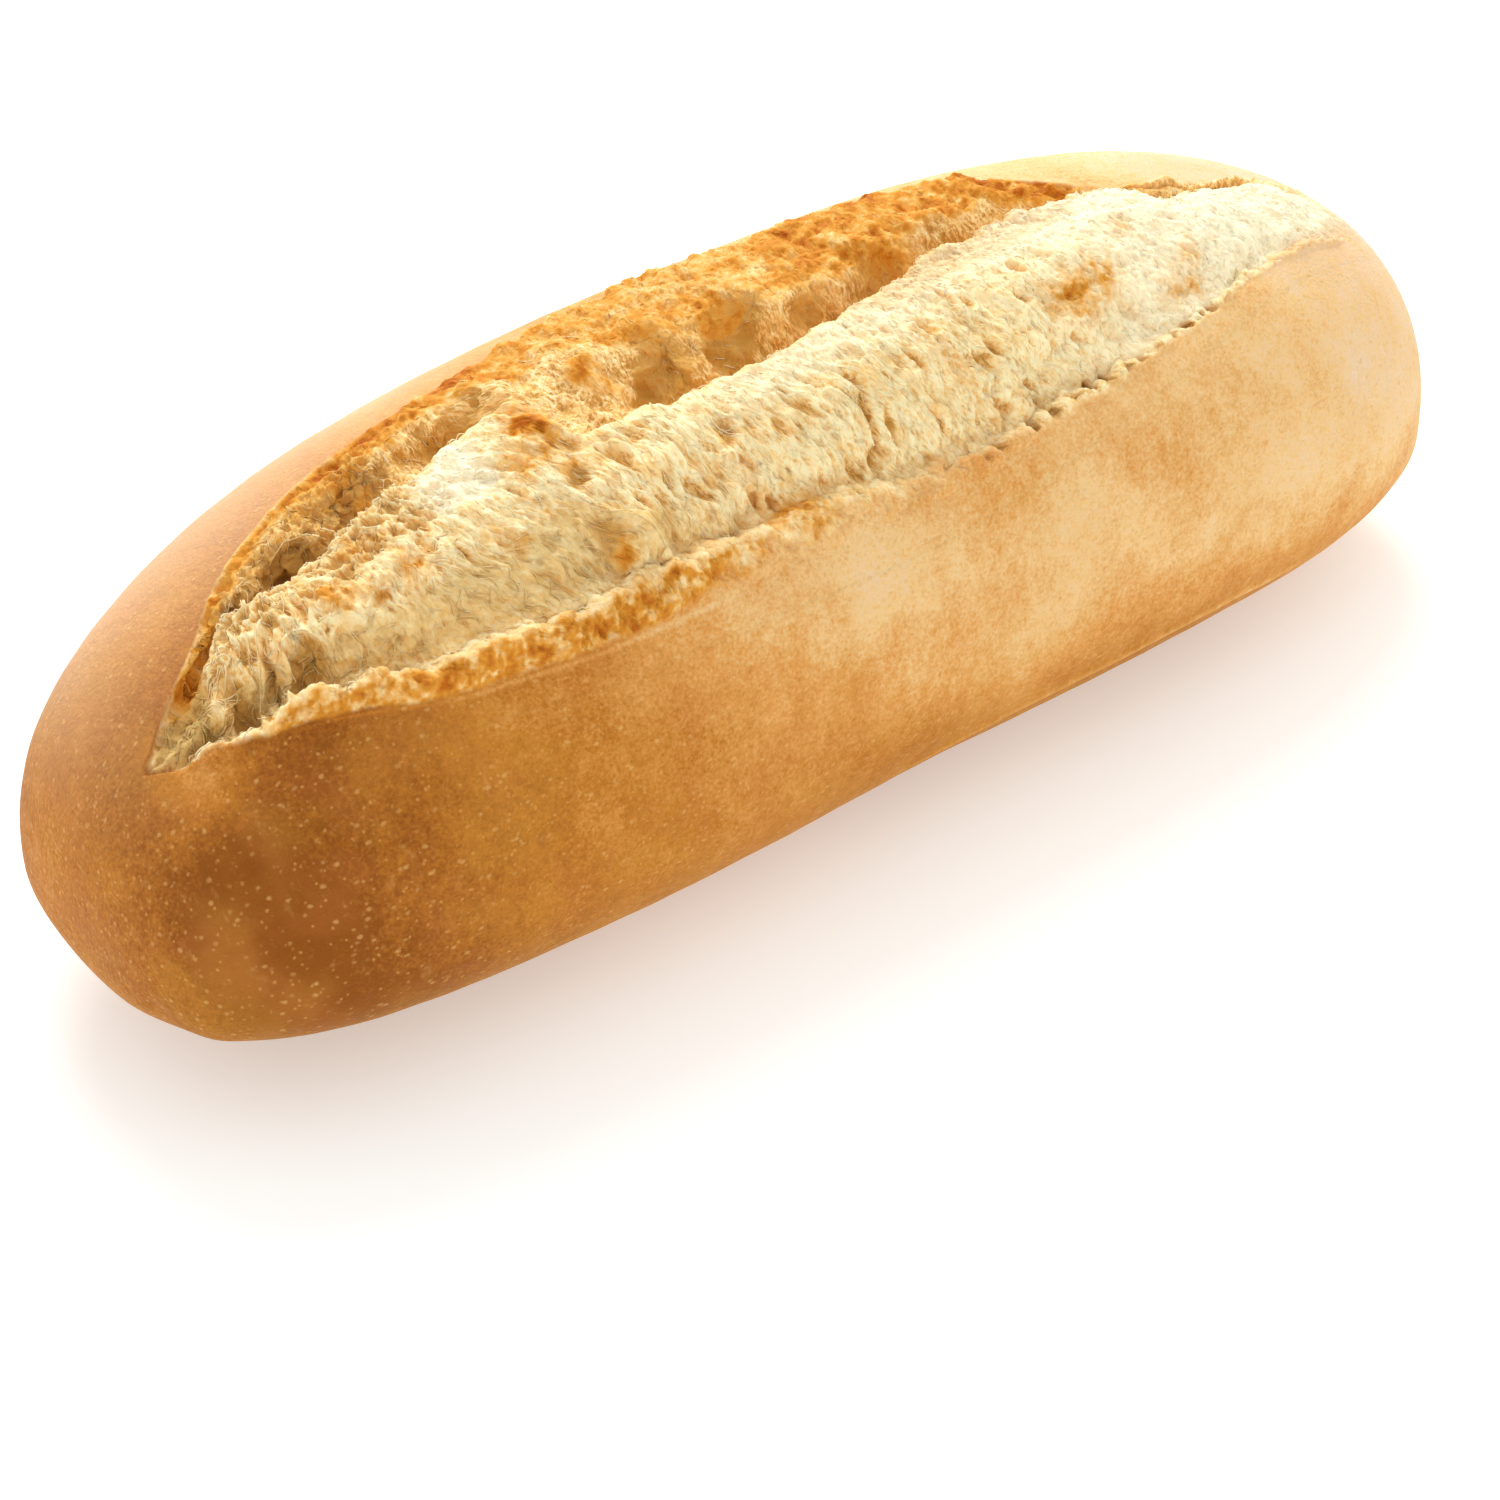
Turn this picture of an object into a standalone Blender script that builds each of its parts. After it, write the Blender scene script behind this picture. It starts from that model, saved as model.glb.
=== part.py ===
"""A long white bread roll, baked as one piece: a plump loaf with round ends, a flat base and one slash
along its top. The crumb has burst out of the slash in a ragged bloom. Behind the bloom runs a deep furrow
under a torn wall.

The roll lies along X and stands on z = 0. Its near end is at -X, and the bloom faces -Y. Lengths are in
millimetres until the last step, which turns them into Blender's metres.
"""

from collections import namedtuple

import bmesh
import bpy
import numpy as np
from mathutils import Vector, noise

MM = 0.001

# The loaf's own size, before the slash.
LENGTH = 190.0
WIDTH = 69.0
HEIGHT = 56.0
HALF_LENGTH = LENGTH / 2
WAIST = 0.37  # height of the widest line, as a share of HEIGHT
WAIST_DROP = 0.08  # how far that line sinks towards the ends, as a share of HEIGHT
SINK = 3.0  # the round underside would reach this far below the base, which cuts it flat
BOW = 5.5  # how far the middle lies behind the ends
WIDTH_TAPER = 0.04  # the far end is this share wider than the middle
HEIGHT_TAPER = 0.02
TOP_POWER = 2.2  # superellipse powers: 2 is an ellipse, more is squarer
UNDER_POWER = 2.0
NEAR_PLAN_POWER, FAR_PLAN_POWER = 3.5, 2.9
NEAR_SIDE_POWER, FAR_SIDE_POWER = 2.6, 2.9

# The mesh: rings along the roll, and points round each ring.
RINGS = 76
SLASH_POINTS = 32
CRUST_POINTS = 40
SEAM_HALF_WIDTH = 3.0  # past the slash's ends its points keep this far on each side of the seam
OUTLINE_STEPS = 2001  # steps in which the outline's length is measured

# Curves along the slash, each a set of (along, value) points. The first three say how far across a line
# lies.
NEAR_EDGE = ((-88, -4), (-84, -9.5), (-74, -14.1), (-59, -19.9), (-40, -22.3), (0, -23.2), (20, -22.2),
             (43, -19.5), (60, -16), (80, -12), (90, -6))
FAR_EDGE = ((-88, -4), (-85, -2.2), (-78, 1.9), (-71, 7.3), (-56, 13.2), (-40, 15.6), (-12, 19.3),
            (5, 18.6), (20, 17), (34, 14.6), (43, 7.8), (50, 1.5), (60, 0.2), (80, -1), (90, -3))
# The bloom's far brink, where it drops into the furrow.
BRINK = ((-88, -3.4), (-80, -1.2), (-73, 1), (-62, 0), (-50, 1.1), (-41, 3.2), (-34, -5.4), (-12, -6.6),
         (5, -4.4), (25, -0.1), (40, 1.1), (47, 1.3), (54, -3.5), (65, -3), (90, -4.5))
# Widths: the torn lip past the near edge, the trough past the lip, the furrow past the brink, and the torn
# top before the far edge.
LIP_WIDTH = ((-88, 0.4), (-72, 1.6), (-47, 2.8), (-14, 2.6), (0, 1.6), (12, 0.7), (90, 0.5))
TROUGH_WIDTH = ((-88, 0.3), (-82, 2.4), (-74, 3.2), (-66, 1.6), (-40, 1.1), (90, 0.9))
FURROW_WIDTH = ((-88, 0.4), (-80, 0.7), (-66, 3), (-40, 3), (-20, 3.8), (5, 3.8), (34, 2.4), (50, 1.6),
                (90, 0.5))
TOP_WIDTH = 1.4
# Heights over the plain loaf.
LIP_HEIGHT = ((-86, 0), (-77, 0.4), (-72, 1.7), (-69, 1), (-47, 1.4), (-14, 0.6), (9, 0.4), (60, 0.3),
              (90, 0))
TROUGH_HEIGHT = ((-88, -0.6), (-84, -2.4), (-74, -3), (-66, -1.8), (-50, -1.3), (-20, -1), (20, -1.4),
                 (90, 0))
CREST_HEIGHT = ((-88, -1.2), (-82, -2.4), (-77, 0.6), (-55, 1.9), (-36, 1.7), (0, 2.8), (30, 2.6),
                (55, 1.2), (90, 0))
BRINK_HEIGHT = ((-88, -1.2), (-80, -1.5), (-74, 0.2), (-56, 1), (-27, 1.5), (9, 2.6), (25, 2), (40, 1),
                (53, 0.3), (90, 0))
FURROW_HEIGHT = ((-88, -1.2), (-80, -1.7), (-66, -2.4), (-42, -3), (-34, -1.8), (-27, -2.6), (-12, -6),
                 (9, -6.5), (25, -5.5), (40, -3.5), (48, -1.5), (60, -0.8), (90, 0))
TOP_HEIGHT = ((-88, -0.4), (-78, 0), (-40, 0), (-12, 0.9), (16, 1), (34, 0.8), (44, 0.3), (90, 0))
# The bloom's shoulder and crest lie these shares of the way from the trough to the brink.
SHOULDER_PLACE, CREST_PLACE = 0.25, 0.58
SHOULDER_SHARE = 0.4  # the shoulder's height, as a share of the crest's
# The rim of the steep wall lies this share of the way from the brink to the far edge.
RIM_PLACE = ((-88, 0.5), (-62, 0.5), (-42, 0.72), (-20, 0.57), (0, 0.38), (17, 0.39), (39, 0.49), (90, 0.5))
RIM_HEIGHT = ((-88, -1.2), (-80, -0.9), (-70, -0.4), (90, 0))

# Single forms in the slash. Each is a soft bump outwards, or with a minus sign a hollow.
Crag = namedtuple("Crag", "along across half_length half_width height")
CRAGS = (
    Crag(-72.5, -12.0, 1.8, 1.6, 1.8),  # torn spike on the near lip
    Crag(-36.5, -16.5, 3.2, 2.6, 3.0),  # toasted tip on the near lip
    Crag(-36.0, 3.0, 2.6, 9.0, 2.2),  # bridge of crust between the two cuts
    Crag(-66.0, 1.5, 3.6, 2.6, -2.2),  # hollow near the end of the cut
    Crag(-56.0, 5.5, 4.2, 2.2, -1.6),
    Crag(-41.5, 8.0, 4.8, 2.4, -1.8),
    Crag(-26.0, 6.5, 3.4, 3.4, 1.8),
    Crag(-19.5, 2.5, 3.4, 5.4, -2.6),  # first alcove in the torn wall
    Crag(-14.6, 3.0, 1.6, 5.0, 1.4),  # rib between the alcoves
    Crag(-9.8, 2.0, 4.0, 5.4, -3.0),  # second alcove
    Crag(-3.0, 4.5, 2.0, 4.5, 1.6),
    Crag(12.0, 3.5, 6.5, 3.6, -1.4),
    Crag(39.0, 5.0, 5.5, 4.0, -1.6),
)

# The relief dies away at the two ends of the slash.
SLASH_START, START_FADE = -89.0, 2.5
SLASH_END, END_FADE = 87.0, 14.0
EDGE_FADE = 0.8
LINE_GAP = 0.2

CRUMB_ROUGHNESS = 0.7
CRUMB_GRAIN = 4.2  # size of the larger crags
FINE_SHARE = 0.5  # depth of the crags of half that size, as a share of the larger ones'
CRUST_UNEVENNESS = 0.35
CRUST_WAVE = 26.0
BASE_BAND = 6.0  # the unevenness grows to its full depth over this height
# A fold low on the near end, where the dough was pinched together.
PINCH_PLACE = (-93.8, -12.0, 13.0)
PINCH_RADIUS = 4.0
PINCH_DEPTH = 1.0

CRUST_COLOUR = (0.62, 0.33, 0.11, 1.0)
CRUST_ROUGHNESS = 0.55

TINY = 1e-6


def smoothstep(share):
    share = np.clip(share, 0.0, 1.0)
    return share * share * (3 - 2 * share)


def monotone_curve(knots, values, place):
    """A smooth curve through values at knots, with no swing past either neighbour. The first axis runs over
    the knots. Past the ends the curve is level."""
    spans = np.diff(knots, axis=0)
    rises = np.diff(values, axis=0) / spans
    before, after = rises[:-1], rises[1:]
    same_way = before * after > 0
    inner = np.where(same_way, 2 * before * after / np.where(same_way, before + after, 1.0), 0.0)
    slopes = np.concatenate([rises[:1], inner, rises[-1:]])
    result = values[0] + 0.0 * place
    for i, span in enumerate(spans):
        share = np.clip((place - knots[i]) / span, 0.0, 1.0)
        rise = smoothstep(share)
        bend = share * (1 - share) * span * ((1 - share) * slopes[i] - share * slopes[i + 1])
        piece = values[i] * (1 - rise) + values[i + 1] * rise + bend
        result = np.where(place > knots[i], piece, result)
    return result


def curve(points, along):
    knots, values = np.array(points, float).T
    return monotone_curve(knots, values, np.asarray(along, float))


def slash_profile(along):
    """(across, height) of the slash's lines, from its near edge to its far edge, at each place along."""
    near, far, brink = (curve(line, along) for line in (NEAR_EDGE, FAR_EDGE, BRINK))
    lip = near + curve(LIP_WIDTH, along)
    trough = lip + curve(TROUGH_WIDTH, along)
    crest_height = curve(CREST_HEIGHT, along)
    level = np.zeros_like(near)
    lines = (
        (near, level),
        (lip, curve(LIP_HEIGHT, along)),
        (trough, curve(TROUGH_HEIGHT, along)),
        (trough + (brink - trough) * SHOULDER_PLACE, crest_height * SHOULDER_SHARE),
        (trough + (brink - trough) * CREST_PLACE, crest_height),
        (brink, curve(BRINK_HEIGHT, along)),
        (brink + curve(FURROW_WIDTH, along), curve(FURROW_HEIGHT, along)),
        (brink + (far - brink) * curve(RIM_PLACE, along), curve(RIM_HEIGHT, along)),
        (far - TOP_WIDTH, curve(TOP_HEIGHT, along)),
        (far, level),
    )
    across, height = (np.stack(values) for values in zip(*lines))
    # Where the slash narrows, its lines keep their order and a little room.
    steps = np.arange(len(lines)).reshape(-1, *[1] * np.ndim(along)) * LINE_GAP
    return np.maximum.accumulate(across - steps, axis=0) + steps, height


def loaf_section(along):
    """The plain loaf's cross-section at each place along it: middle, half width, waist height, and rise and
    drop from the waist."""
    share = np.clip(along / HALF_LENGTH, -1.0, 1.0)
    near = share < 0
    plan_power = np.where(near, NEAR_PLAN_POWER, FAR_PLAN_POWER)
    side_power = np.where(near, NEAR_SIDE_POWER, FAR_SIDE_POWER)
    roundness = (1 - np.abs(share) ** plan_power) ** (1 / plan_power)
    half_width = WIDTH / 2 * (1 + WIDTH_TAPER * share) * roundness
    fullness = (1 - np.abs(share) ** side_power) ** (1 / side_power)
    middle = BOW * (1 - share**2)
    waist = HEIGHT * (WAIST - WAIST_DROP * share**2)
    rise = (HEIGHT * (1 + HEIGHT_TAPER * share) - waist) * fullness
    drop = (waist + SINK) * fullness
    return middle, half_width, waist, rise, drop


def point_at_angle(along, angle):
    """The loaf's surface point at an angle round its section, from the far side over the top."""
    middle, half_width, waist, rise, drop = loaf_section(along)
    sideways, upwards = np.cos(angle), np.sin(angle)
    power = np.where(upwards > 0, TOP_POWER, UNDER_POWER)
    across = middle + half_width * np.sign(sideways) * np.abs(sideways) ** (2 / power)
    height = waist + np.where(upwards > 0, rise, drop) * np.sign(upwards) * np.abs(upwards) ** (2 / power)
    return across, np.maximum(height, 0.0)


def angle_at(along, across):
    """The angle at which the top of the loaf is this far across."""
    middle, half_width, *_ = loaf_section(along)
    share = np.clip((across - middle) / np.maximum(half_width, TINY), -1.0, 1.0)
    return np.arccos(np.sign(share) * np.abs(share) ** (TOP_POWER / 2))


def slash_relief(along, across):
    """Height of the torn crumb over the plain loaf."""
    relief = monotone_curve(*slash_profile(along), across)
    for crag in CRAGS:
        along_share = (along - crag.along) / crag.half_length
        across_share = (across - crag.across) / crag.half_width
        relief = relief + crag.height * np.exp(-(along_share**2) - across_share**2)
    return relief


def inside_slash(along, across):
    """1 well inside the slash, falling to 0 at its edges and its two ends."""
    near, far = curve(NEAR_EDGE, along), curve(FAR_EDGE, along)
    between_edges = smoothstep((across - near) / EDGE_FADE) * smoothstep((far - across) / EDGE_FADE)
    from_start = smoothstep((along - SLASH_START) / START_FADE)
    to_end = smoothstep((SLASH_END - along) / END_FADE)
    return between_edges * from_start * to_end


def noise_at(points, grain):
    return np.array([noise.noise(Vector(point) / grain) for point in points])


def ring_places():
    """Places along the roll, evenly spaced round its outline in plan, from tip to tip."""
    turn = np.linspace(-np.pi / 2, np.pi / 2, OUTLINE_STEPS)
    along = HALF_LENGTH * np.sin(turn)
    _, half_width, *_ = loaf_section(along)
    run = np.concatenate([[0], np.cumsum(np.hypot(np.diff(along), np.diff(half_width)))])
    return np.interp(np.linspace(0, run[-1], RINGS + 1), run, along)


def ring_angles(along):
    """Angles round one ring: over the slash from its far edge to its near edge, then round the crust."""
    near, far = curve(NEAR_EDGE, along), curve(FAR_EDGE, along)
    seam = (near + far) / 2
    far, near = max(far, seam + SEAM_HALF_WIDTH), min(near, seam - SEAM_HALF_WIDTH)
    over_slash = angle_at(along, np.linspace(far, near, SLASH_POINTS + 1))
    round_crust = np.linspace(over_slash[-1], over_slash[0] + 2 * np.pi, CRUST_POINTS + 1)
    return np.concatenate([over_slash[:-1], round_crust[:-1]])


def roll_points(along, angle):
    """Points on the finished roll: the loaf, its slash and the unevenness of both."""
    across, height = point_at_angle(along, angle)
    middle, _, waist, *_ = loaf_section(along)
    outward = np.stack([across - middle, height - waist])
    outward = outward / np.maximum(np.hypot(*outward), TINY)
    places = np.stack([along, across, height], axis=-1)
    torn = inside_slash(along, across) * (np.sin(angle) > 0)
    crags = noise_at(places, CRUMB_GRAIN) + FINE_SHARE * noise_at(places, CRUMB_GRAIN / 2)
    lift = torn * (slash_relief(along, across) + CRUMB_ROUGHNESS * crags)
    unevenness = CRUST_UNEVENNESS * noise_at(places, CRUST_WAVE)
    from_pinch = np.linalg.norm(places - PINCH_PLACE, axis=-1) / PINCH_RADIUS
    dented = unevenness - PINCH_DEPTH * np.exp(-(from_pinch**2))
    # The base itself stays flat.
    lift = lift + dented * smoothstep(height / BASE_BAND)
    lifted = np.stack([across, height]) + lift * outward
    return np.stack([along, lifted[0], np.maximum(lifted[1], 0.0)], axis=-1)


def centred_on_base(points):
    """The points moved in plan so that the roll's box is centred on the origin."""
    low, high = points.min(axis=0), points.max(axis=0)
    return points - [(low[0] + high[0]) / 2, (low[1] + high[1]) / 2, 0.0]


def crust_material():
    material = bpy.data.materials.new("baked_crust")
    material.use_nodes = True
    shader = material.node_tree.nodes["Principled BSDF"]
    shader.inputs["Base Color"].default_value = CRUST_COLOUR
    shader.inputs["Roughness"].default_value = CRUST_ROUGHNESS
    shader.inputs["Metallic"].default_value = 0.0
    return material


def bread_roll(collection):
    """A sphere whose poles are the roll's tips, with each ring moved to its place along the roll."""
    around = SLASH_POINTS + CRUST_POINTS
    shape = bmesh.new()
    bmesh.ops.create_uvsphere(shape, u_segments=around, v_segments=RINGS, radius=1.0)
    places = ring_places()
    angles = np.array([ring_angles(along) for along in places])
    directions = np.array([vert.co for vert in shape.verts])
    ring = np.rint(np.arccos(np.clip(-directions[:, 2], -1, 1)) / np.pi * RINGS).astype(int)
    turn = np.arctan2(directions[:, 1], directions[:, 0]) / (2 * np.pi) * around
    spoke = np.rint(turn).astype(int) % around
    points = centred_on_base(roll_points(places[ring], angles[ring, spoke]))
    for vert, point in zip(shape.verts, points):
        vert.co = Vector(point) * MM
    bmesh.ops.triangulate(shape, faces=shape.faces)
    bmesh.ops.recalc_face_normals(shape, faces=shape.faces)
    mesh = bpy.data.meshes.new("bread_roll")
    shape.to_mesh(mesh)
    shape.free()
    mesh.shade_smooth()
    mesh.materials.append(crust_material())
    roll = bpy.data.objects.new("bread_roll", mesh)
    collection.objects.link(roll)
    return roll


def main():
    for leftover in list(bpy.data.objects):
        bpy.data.objects.remove(leftover)
    collection = bpy.data.collections.new("white_bread_roll")
    bpy.context.scene.collection.children.link(collection)
    bread_roll(collection)


main()
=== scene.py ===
"""The looks of a long white bread roll: its baked crust, and the torn crumb that bursts out of the slash.

The forms are worked in millimetres in the loaf's own frame: it lies along X with its near end at -X, and
the bloom of the slash faces -Y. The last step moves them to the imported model's frame, in metres.
"""

from __future__ import annotations

import itertools
import logging
import math
from dataclasses import dataclass
from enum import Enum, IntEnum
from typing import Iterable, NamedTuple

import bmesh
import bpy
import numpy as np
import numpy.typing as npt
from bpy.types import Material, Node, NodeSocket, NodeTree, Object
from mathutils import Matrix, Vector, noise


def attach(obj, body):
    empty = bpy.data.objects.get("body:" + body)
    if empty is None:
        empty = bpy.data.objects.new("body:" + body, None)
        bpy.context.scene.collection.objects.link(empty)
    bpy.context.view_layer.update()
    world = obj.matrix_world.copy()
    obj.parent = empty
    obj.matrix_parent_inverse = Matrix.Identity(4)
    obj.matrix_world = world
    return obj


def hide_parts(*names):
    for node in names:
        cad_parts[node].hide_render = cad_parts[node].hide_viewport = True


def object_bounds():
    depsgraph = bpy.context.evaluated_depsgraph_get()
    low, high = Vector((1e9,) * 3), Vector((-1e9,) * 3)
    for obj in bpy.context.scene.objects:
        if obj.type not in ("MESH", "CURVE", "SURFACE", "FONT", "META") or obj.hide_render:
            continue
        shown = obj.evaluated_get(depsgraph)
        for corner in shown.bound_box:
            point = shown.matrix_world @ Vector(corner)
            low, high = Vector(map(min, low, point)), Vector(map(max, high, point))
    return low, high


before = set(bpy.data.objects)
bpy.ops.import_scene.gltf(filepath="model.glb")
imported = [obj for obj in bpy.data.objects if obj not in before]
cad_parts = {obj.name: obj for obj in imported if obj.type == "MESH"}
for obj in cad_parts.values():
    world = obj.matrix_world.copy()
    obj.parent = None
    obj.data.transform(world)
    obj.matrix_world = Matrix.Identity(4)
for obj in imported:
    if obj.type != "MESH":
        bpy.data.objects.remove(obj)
CAD_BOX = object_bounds()

LOG = logging.getLogger("white_bread_roll")
FloatArray = npt.NDArray[np.float64]
Pair = tuple[FloatArray, FloatArray]
Marks = dict[str, FloatArray]  # numbers or vectors kept on the vertices, by attribute name
Knots = tuple[tuple[float, float], ...]
Colour = tuple[float, float, float, float]

MM = 0.001
TINY = 1e-6
BODY = "root"
ROLL_NODE = "bread_roll"
PLAN_SHIFT = 5.332  # how far, in mm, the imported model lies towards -Y of the loaf's own frame
BOX_CLEARANCE = 0.03  # the finished surface keeps this far, in mm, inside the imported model's box
SLASH_MIDDLE = 43.0  # across plus height, in mm, about the middle of the slash
TOP_ROOM = 1.2  # the crumb's peaks are pressed together within this distance of the box's top
BASE_BAND = 6.0  # all unevenness fades out over this height, in mm, towards the flat base
SCATTER = (374761393, 668265263, 2246822519, 3266489917)  # large odd factors: three axes and the seed
STIRS = ((15, 2654435761), (13, 1274126177))  # shifts and factors that mix a cell's number well
LATTICE_GAIN = 2.6  # brings the lattice noise to about -1 to 1


class Seed(IntEnum):
    """Picks a noise for each kind of unevenness. Where several are needed, the next numbers serve too."""

    JAGS = 5
    BUBBLES = 11
    THREADS = 12
    PORES = 23
    WEBS = 29
    PRICKS = 37
    MOTTLES = 40
    FIBRES = 51
    WRINKLES = 60
    LUMPS = 71
    GRANULES = 83
    BEND = 90
    CURL = 94
    TOAST = 101


# -------- numbers


def smoothstep(share: FloatArray) -> FloatArray:
    """An even S-shaped rise from 0 to 1 while the share goes from 0 to 1."""
    share = np.clip(share, 0.0, 1.0)
    return share * share * (3 - 2 * share)


def hill(distance: FloatArray, half_width: float | FloatArray) -> FloatArray:
    """A soft bump of height 1 over distance 0, a third as high at half_width."""
    return np.exp(-((distance / half_width) ** 2))


def between(place: FloatArray, low: FloatArray | float, high: FloatArray | float,
            soft: float) -> FloatArray:
    """1 between low and high, falling to 0 over the distance soft inside each."""
    return smoothstep((place - low) / soft) * smoothstep((high - place) / soft)


def monotone_curve(knots: FloatArray, values: FloatArray, place: FloatArray) -> FloatArray:
    """A smooth curve that never swings past its neighbours' values and is level past its ends.

    Args:
        knots: places of the known values, with the knots on the first axis.
        values: the known values, in the same shape.
        place: where the curve is wanted.

    Returns:
        The curve's value at each place.
    """
    spans = np.diff(knots, axis=0)
    rises = np.diff(values, axis=0) / spans
    before, after = rises[:-1], rises[1:]
    same_way = before * after > 0
    inner = np.where(same_way, 2 * before * after / np.where(same_way, before + after, 1.0), 0.0)
    slopes = np.concatenate([rises[:1], inner, rises[-1:]])
    result = values[0] + 0.0 * place
    for i, span in enumerate(spans):
        share = np.clip((place - knots[i]) / span, 0.0, 1.0)
        rise = smoothstep(share)
        bend = share * (1 - share) * span * ((1 - share) * slopes[i] - share * slopes[i + 1])
        piece = values[i] * (1 - rise) + values[i + 1] * rise + bend
        result = np.where(place > knots[i], piece, result)
    return result


def curve(knots: Knots, along: FloatArray) -> FloatArray:
    """The smooth curve through (along, value) knots, at each place along the roll."""
    places, values = np.array(knots, float).T
    return monotone_curve(places, values, np.asarray(along, float))


def cell_chance(cells: npt.NDArray[np.uint32], seed: int) -> FloatArray:
    """One even chance for each whole-numbered cell of a lattice.

    Args:
        cells: whole numbers, with the three axes last.
        seed: picks one of many unlike sets of chances.

    Returns:
        A number from 0 to 1 for each cell, the same on every run.
    """
    mixed = np.uint32(seed * SCATTER[3] % 2**32)
    for axis in range(3):
        mixed = mixed + cells[..., axis] * np.uint32(SCATTER[axis])
    for shift, factor in STIRS:
        mixed = (mixed ^ (mixed >> np.uint32(shift))) * np.uint32(factor)
    return ((mixed ^ (mixed >> np.uint32(16))) & np.uint32(0xFFFF)) / float(0xFFFF)


def lattice_noise(points: FloatArray, seed: int) -> FloatArray:
    """Smooth noise with features about one unit wide.

    Args:
        points: places, with the three axes last.
        seed: picks one of many unlike noises.

    Returns:
        The noise at each place, from about -1 to 1.
    """
    floor = np.floor(points)
    share = points - floor
    rise = share * share * share * (share * (share * 6 - 15) + 10)
    total = np.zeros(points.shape[:-1])
    for corner in itertools.product((0, 1), repeat=3):
        cells = (floor + corner).astype(np.int64).astype(np.uint32)
        weight = np.prod(np.where(corner, rise, 1 - rise), axis=-1)
        gap = share - corner
        lean = sum((cell_chance(cells, seed + axis) - 0.5) * gap[..., axis] for axis in range(3))
        total += weight * lean
    return total * LATTICE_GAIN


class Cells(NamedTuple):
    """What is nearest to each place in a lattice with one seed point in each cell."""

    nearest: FloatArray
    wall: FloatArray  # distance to the nearest point's border, about 0 on the border
    chance: FloatArray  # the nearest point's own chance


def foam(points: FloatArray, seed: int) -> Cells:
    """Irregular cells about one unit wide, like bubbles pressed together.

    Args:
        points: places, with the three axes last.
        seed: picks one of many unlike foams.

    Returns:
        The distances and chances at each place.
    """
    floor = np.floor(points)
    nearest = np.full(points.shape[:-1], np.inf)
    second = nearest.copy()
    chance = np.zeros_like(nearest)
    for step in itertools.product((-1, 0, 1), repeat=3):
        corner = floor + step
        cells = corner.astype(np.int64).astype(np.uint32)
        distance = np.zeros_like(nearest)
        for axis in range(3):
            distance += (corner[..., axis] + cell_chance(cells, seed + axis) - points[..., axis]) ** 2
        distance = np.sqrt(distance)
        closer = distance < nearest
        second = np.where(closer, nearest, np.minimum(second, distance))
        chance = np.where(closer, cell_chance(cells, seed + 3), chance)
        nearest = np.minimum(nearest, distance)
    return Cells(nearest, second - nearest, chance)


def blurred(values: FloatArray, reach: int) -> FloatArray:
    """Evens out a grid of values.

    Args:
        values: the grid.
        reach: how many steps to each side are taken into the mean, along both axes.

    Returns:
        The evened grid, of the same shape.
    """
    span = 2 * reach + 1
    for axis in (0, 1):
        room = [(0, 0), (0, 0)]
        room[axis] = (reach + 1, reach)
        run = np.cumsum(np.pad(values, room, mode="edge"), axis=axis)
        values = (np.take(run, range(span, run.shape[axis]), axis) -
                  np.take(run, range(run.shape[axis] - span), axis)) / span
    return values


def perlin(points: FloatArray, grain: float) -> FloatArray:
    """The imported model's own unevenness noise, with features of the size of grain."""
    flat = points.reshape(-1, 3) / grain
    values = np.array([noise.noise(Vector(point)) for point in flat])
    return values.reshape(points.shape[:-1])


# -------- the loaf and its slash


class Knob(NamedTuple):
    """A soft round change about one point of the roll's surface."""

    along: float
    across: float
    height: float
    radius: float
    change: float

    def shape(self, places: FloatArray) -> FloatArray:
        """The change at each place."""
        return self.change * hill(np.linalg.norm(places - self[:3], axis=-1), self.radius)


def knobs(*rows: tuple[float, float, float, float, float]) -> tuple[Knob, ...]:
    """Knobs from rows of numbers: along, across, height, radius and change."""
    return tuple(Knob(*row) for row in rows)


class Section(NamedTuple):
    """The plain loaf's cross-section at places along it."""

    middle: FloatArray
    half_width: FloatArray
    waist: FloatArray
    rise: FloatArray
    drop: FloatArray


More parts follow.
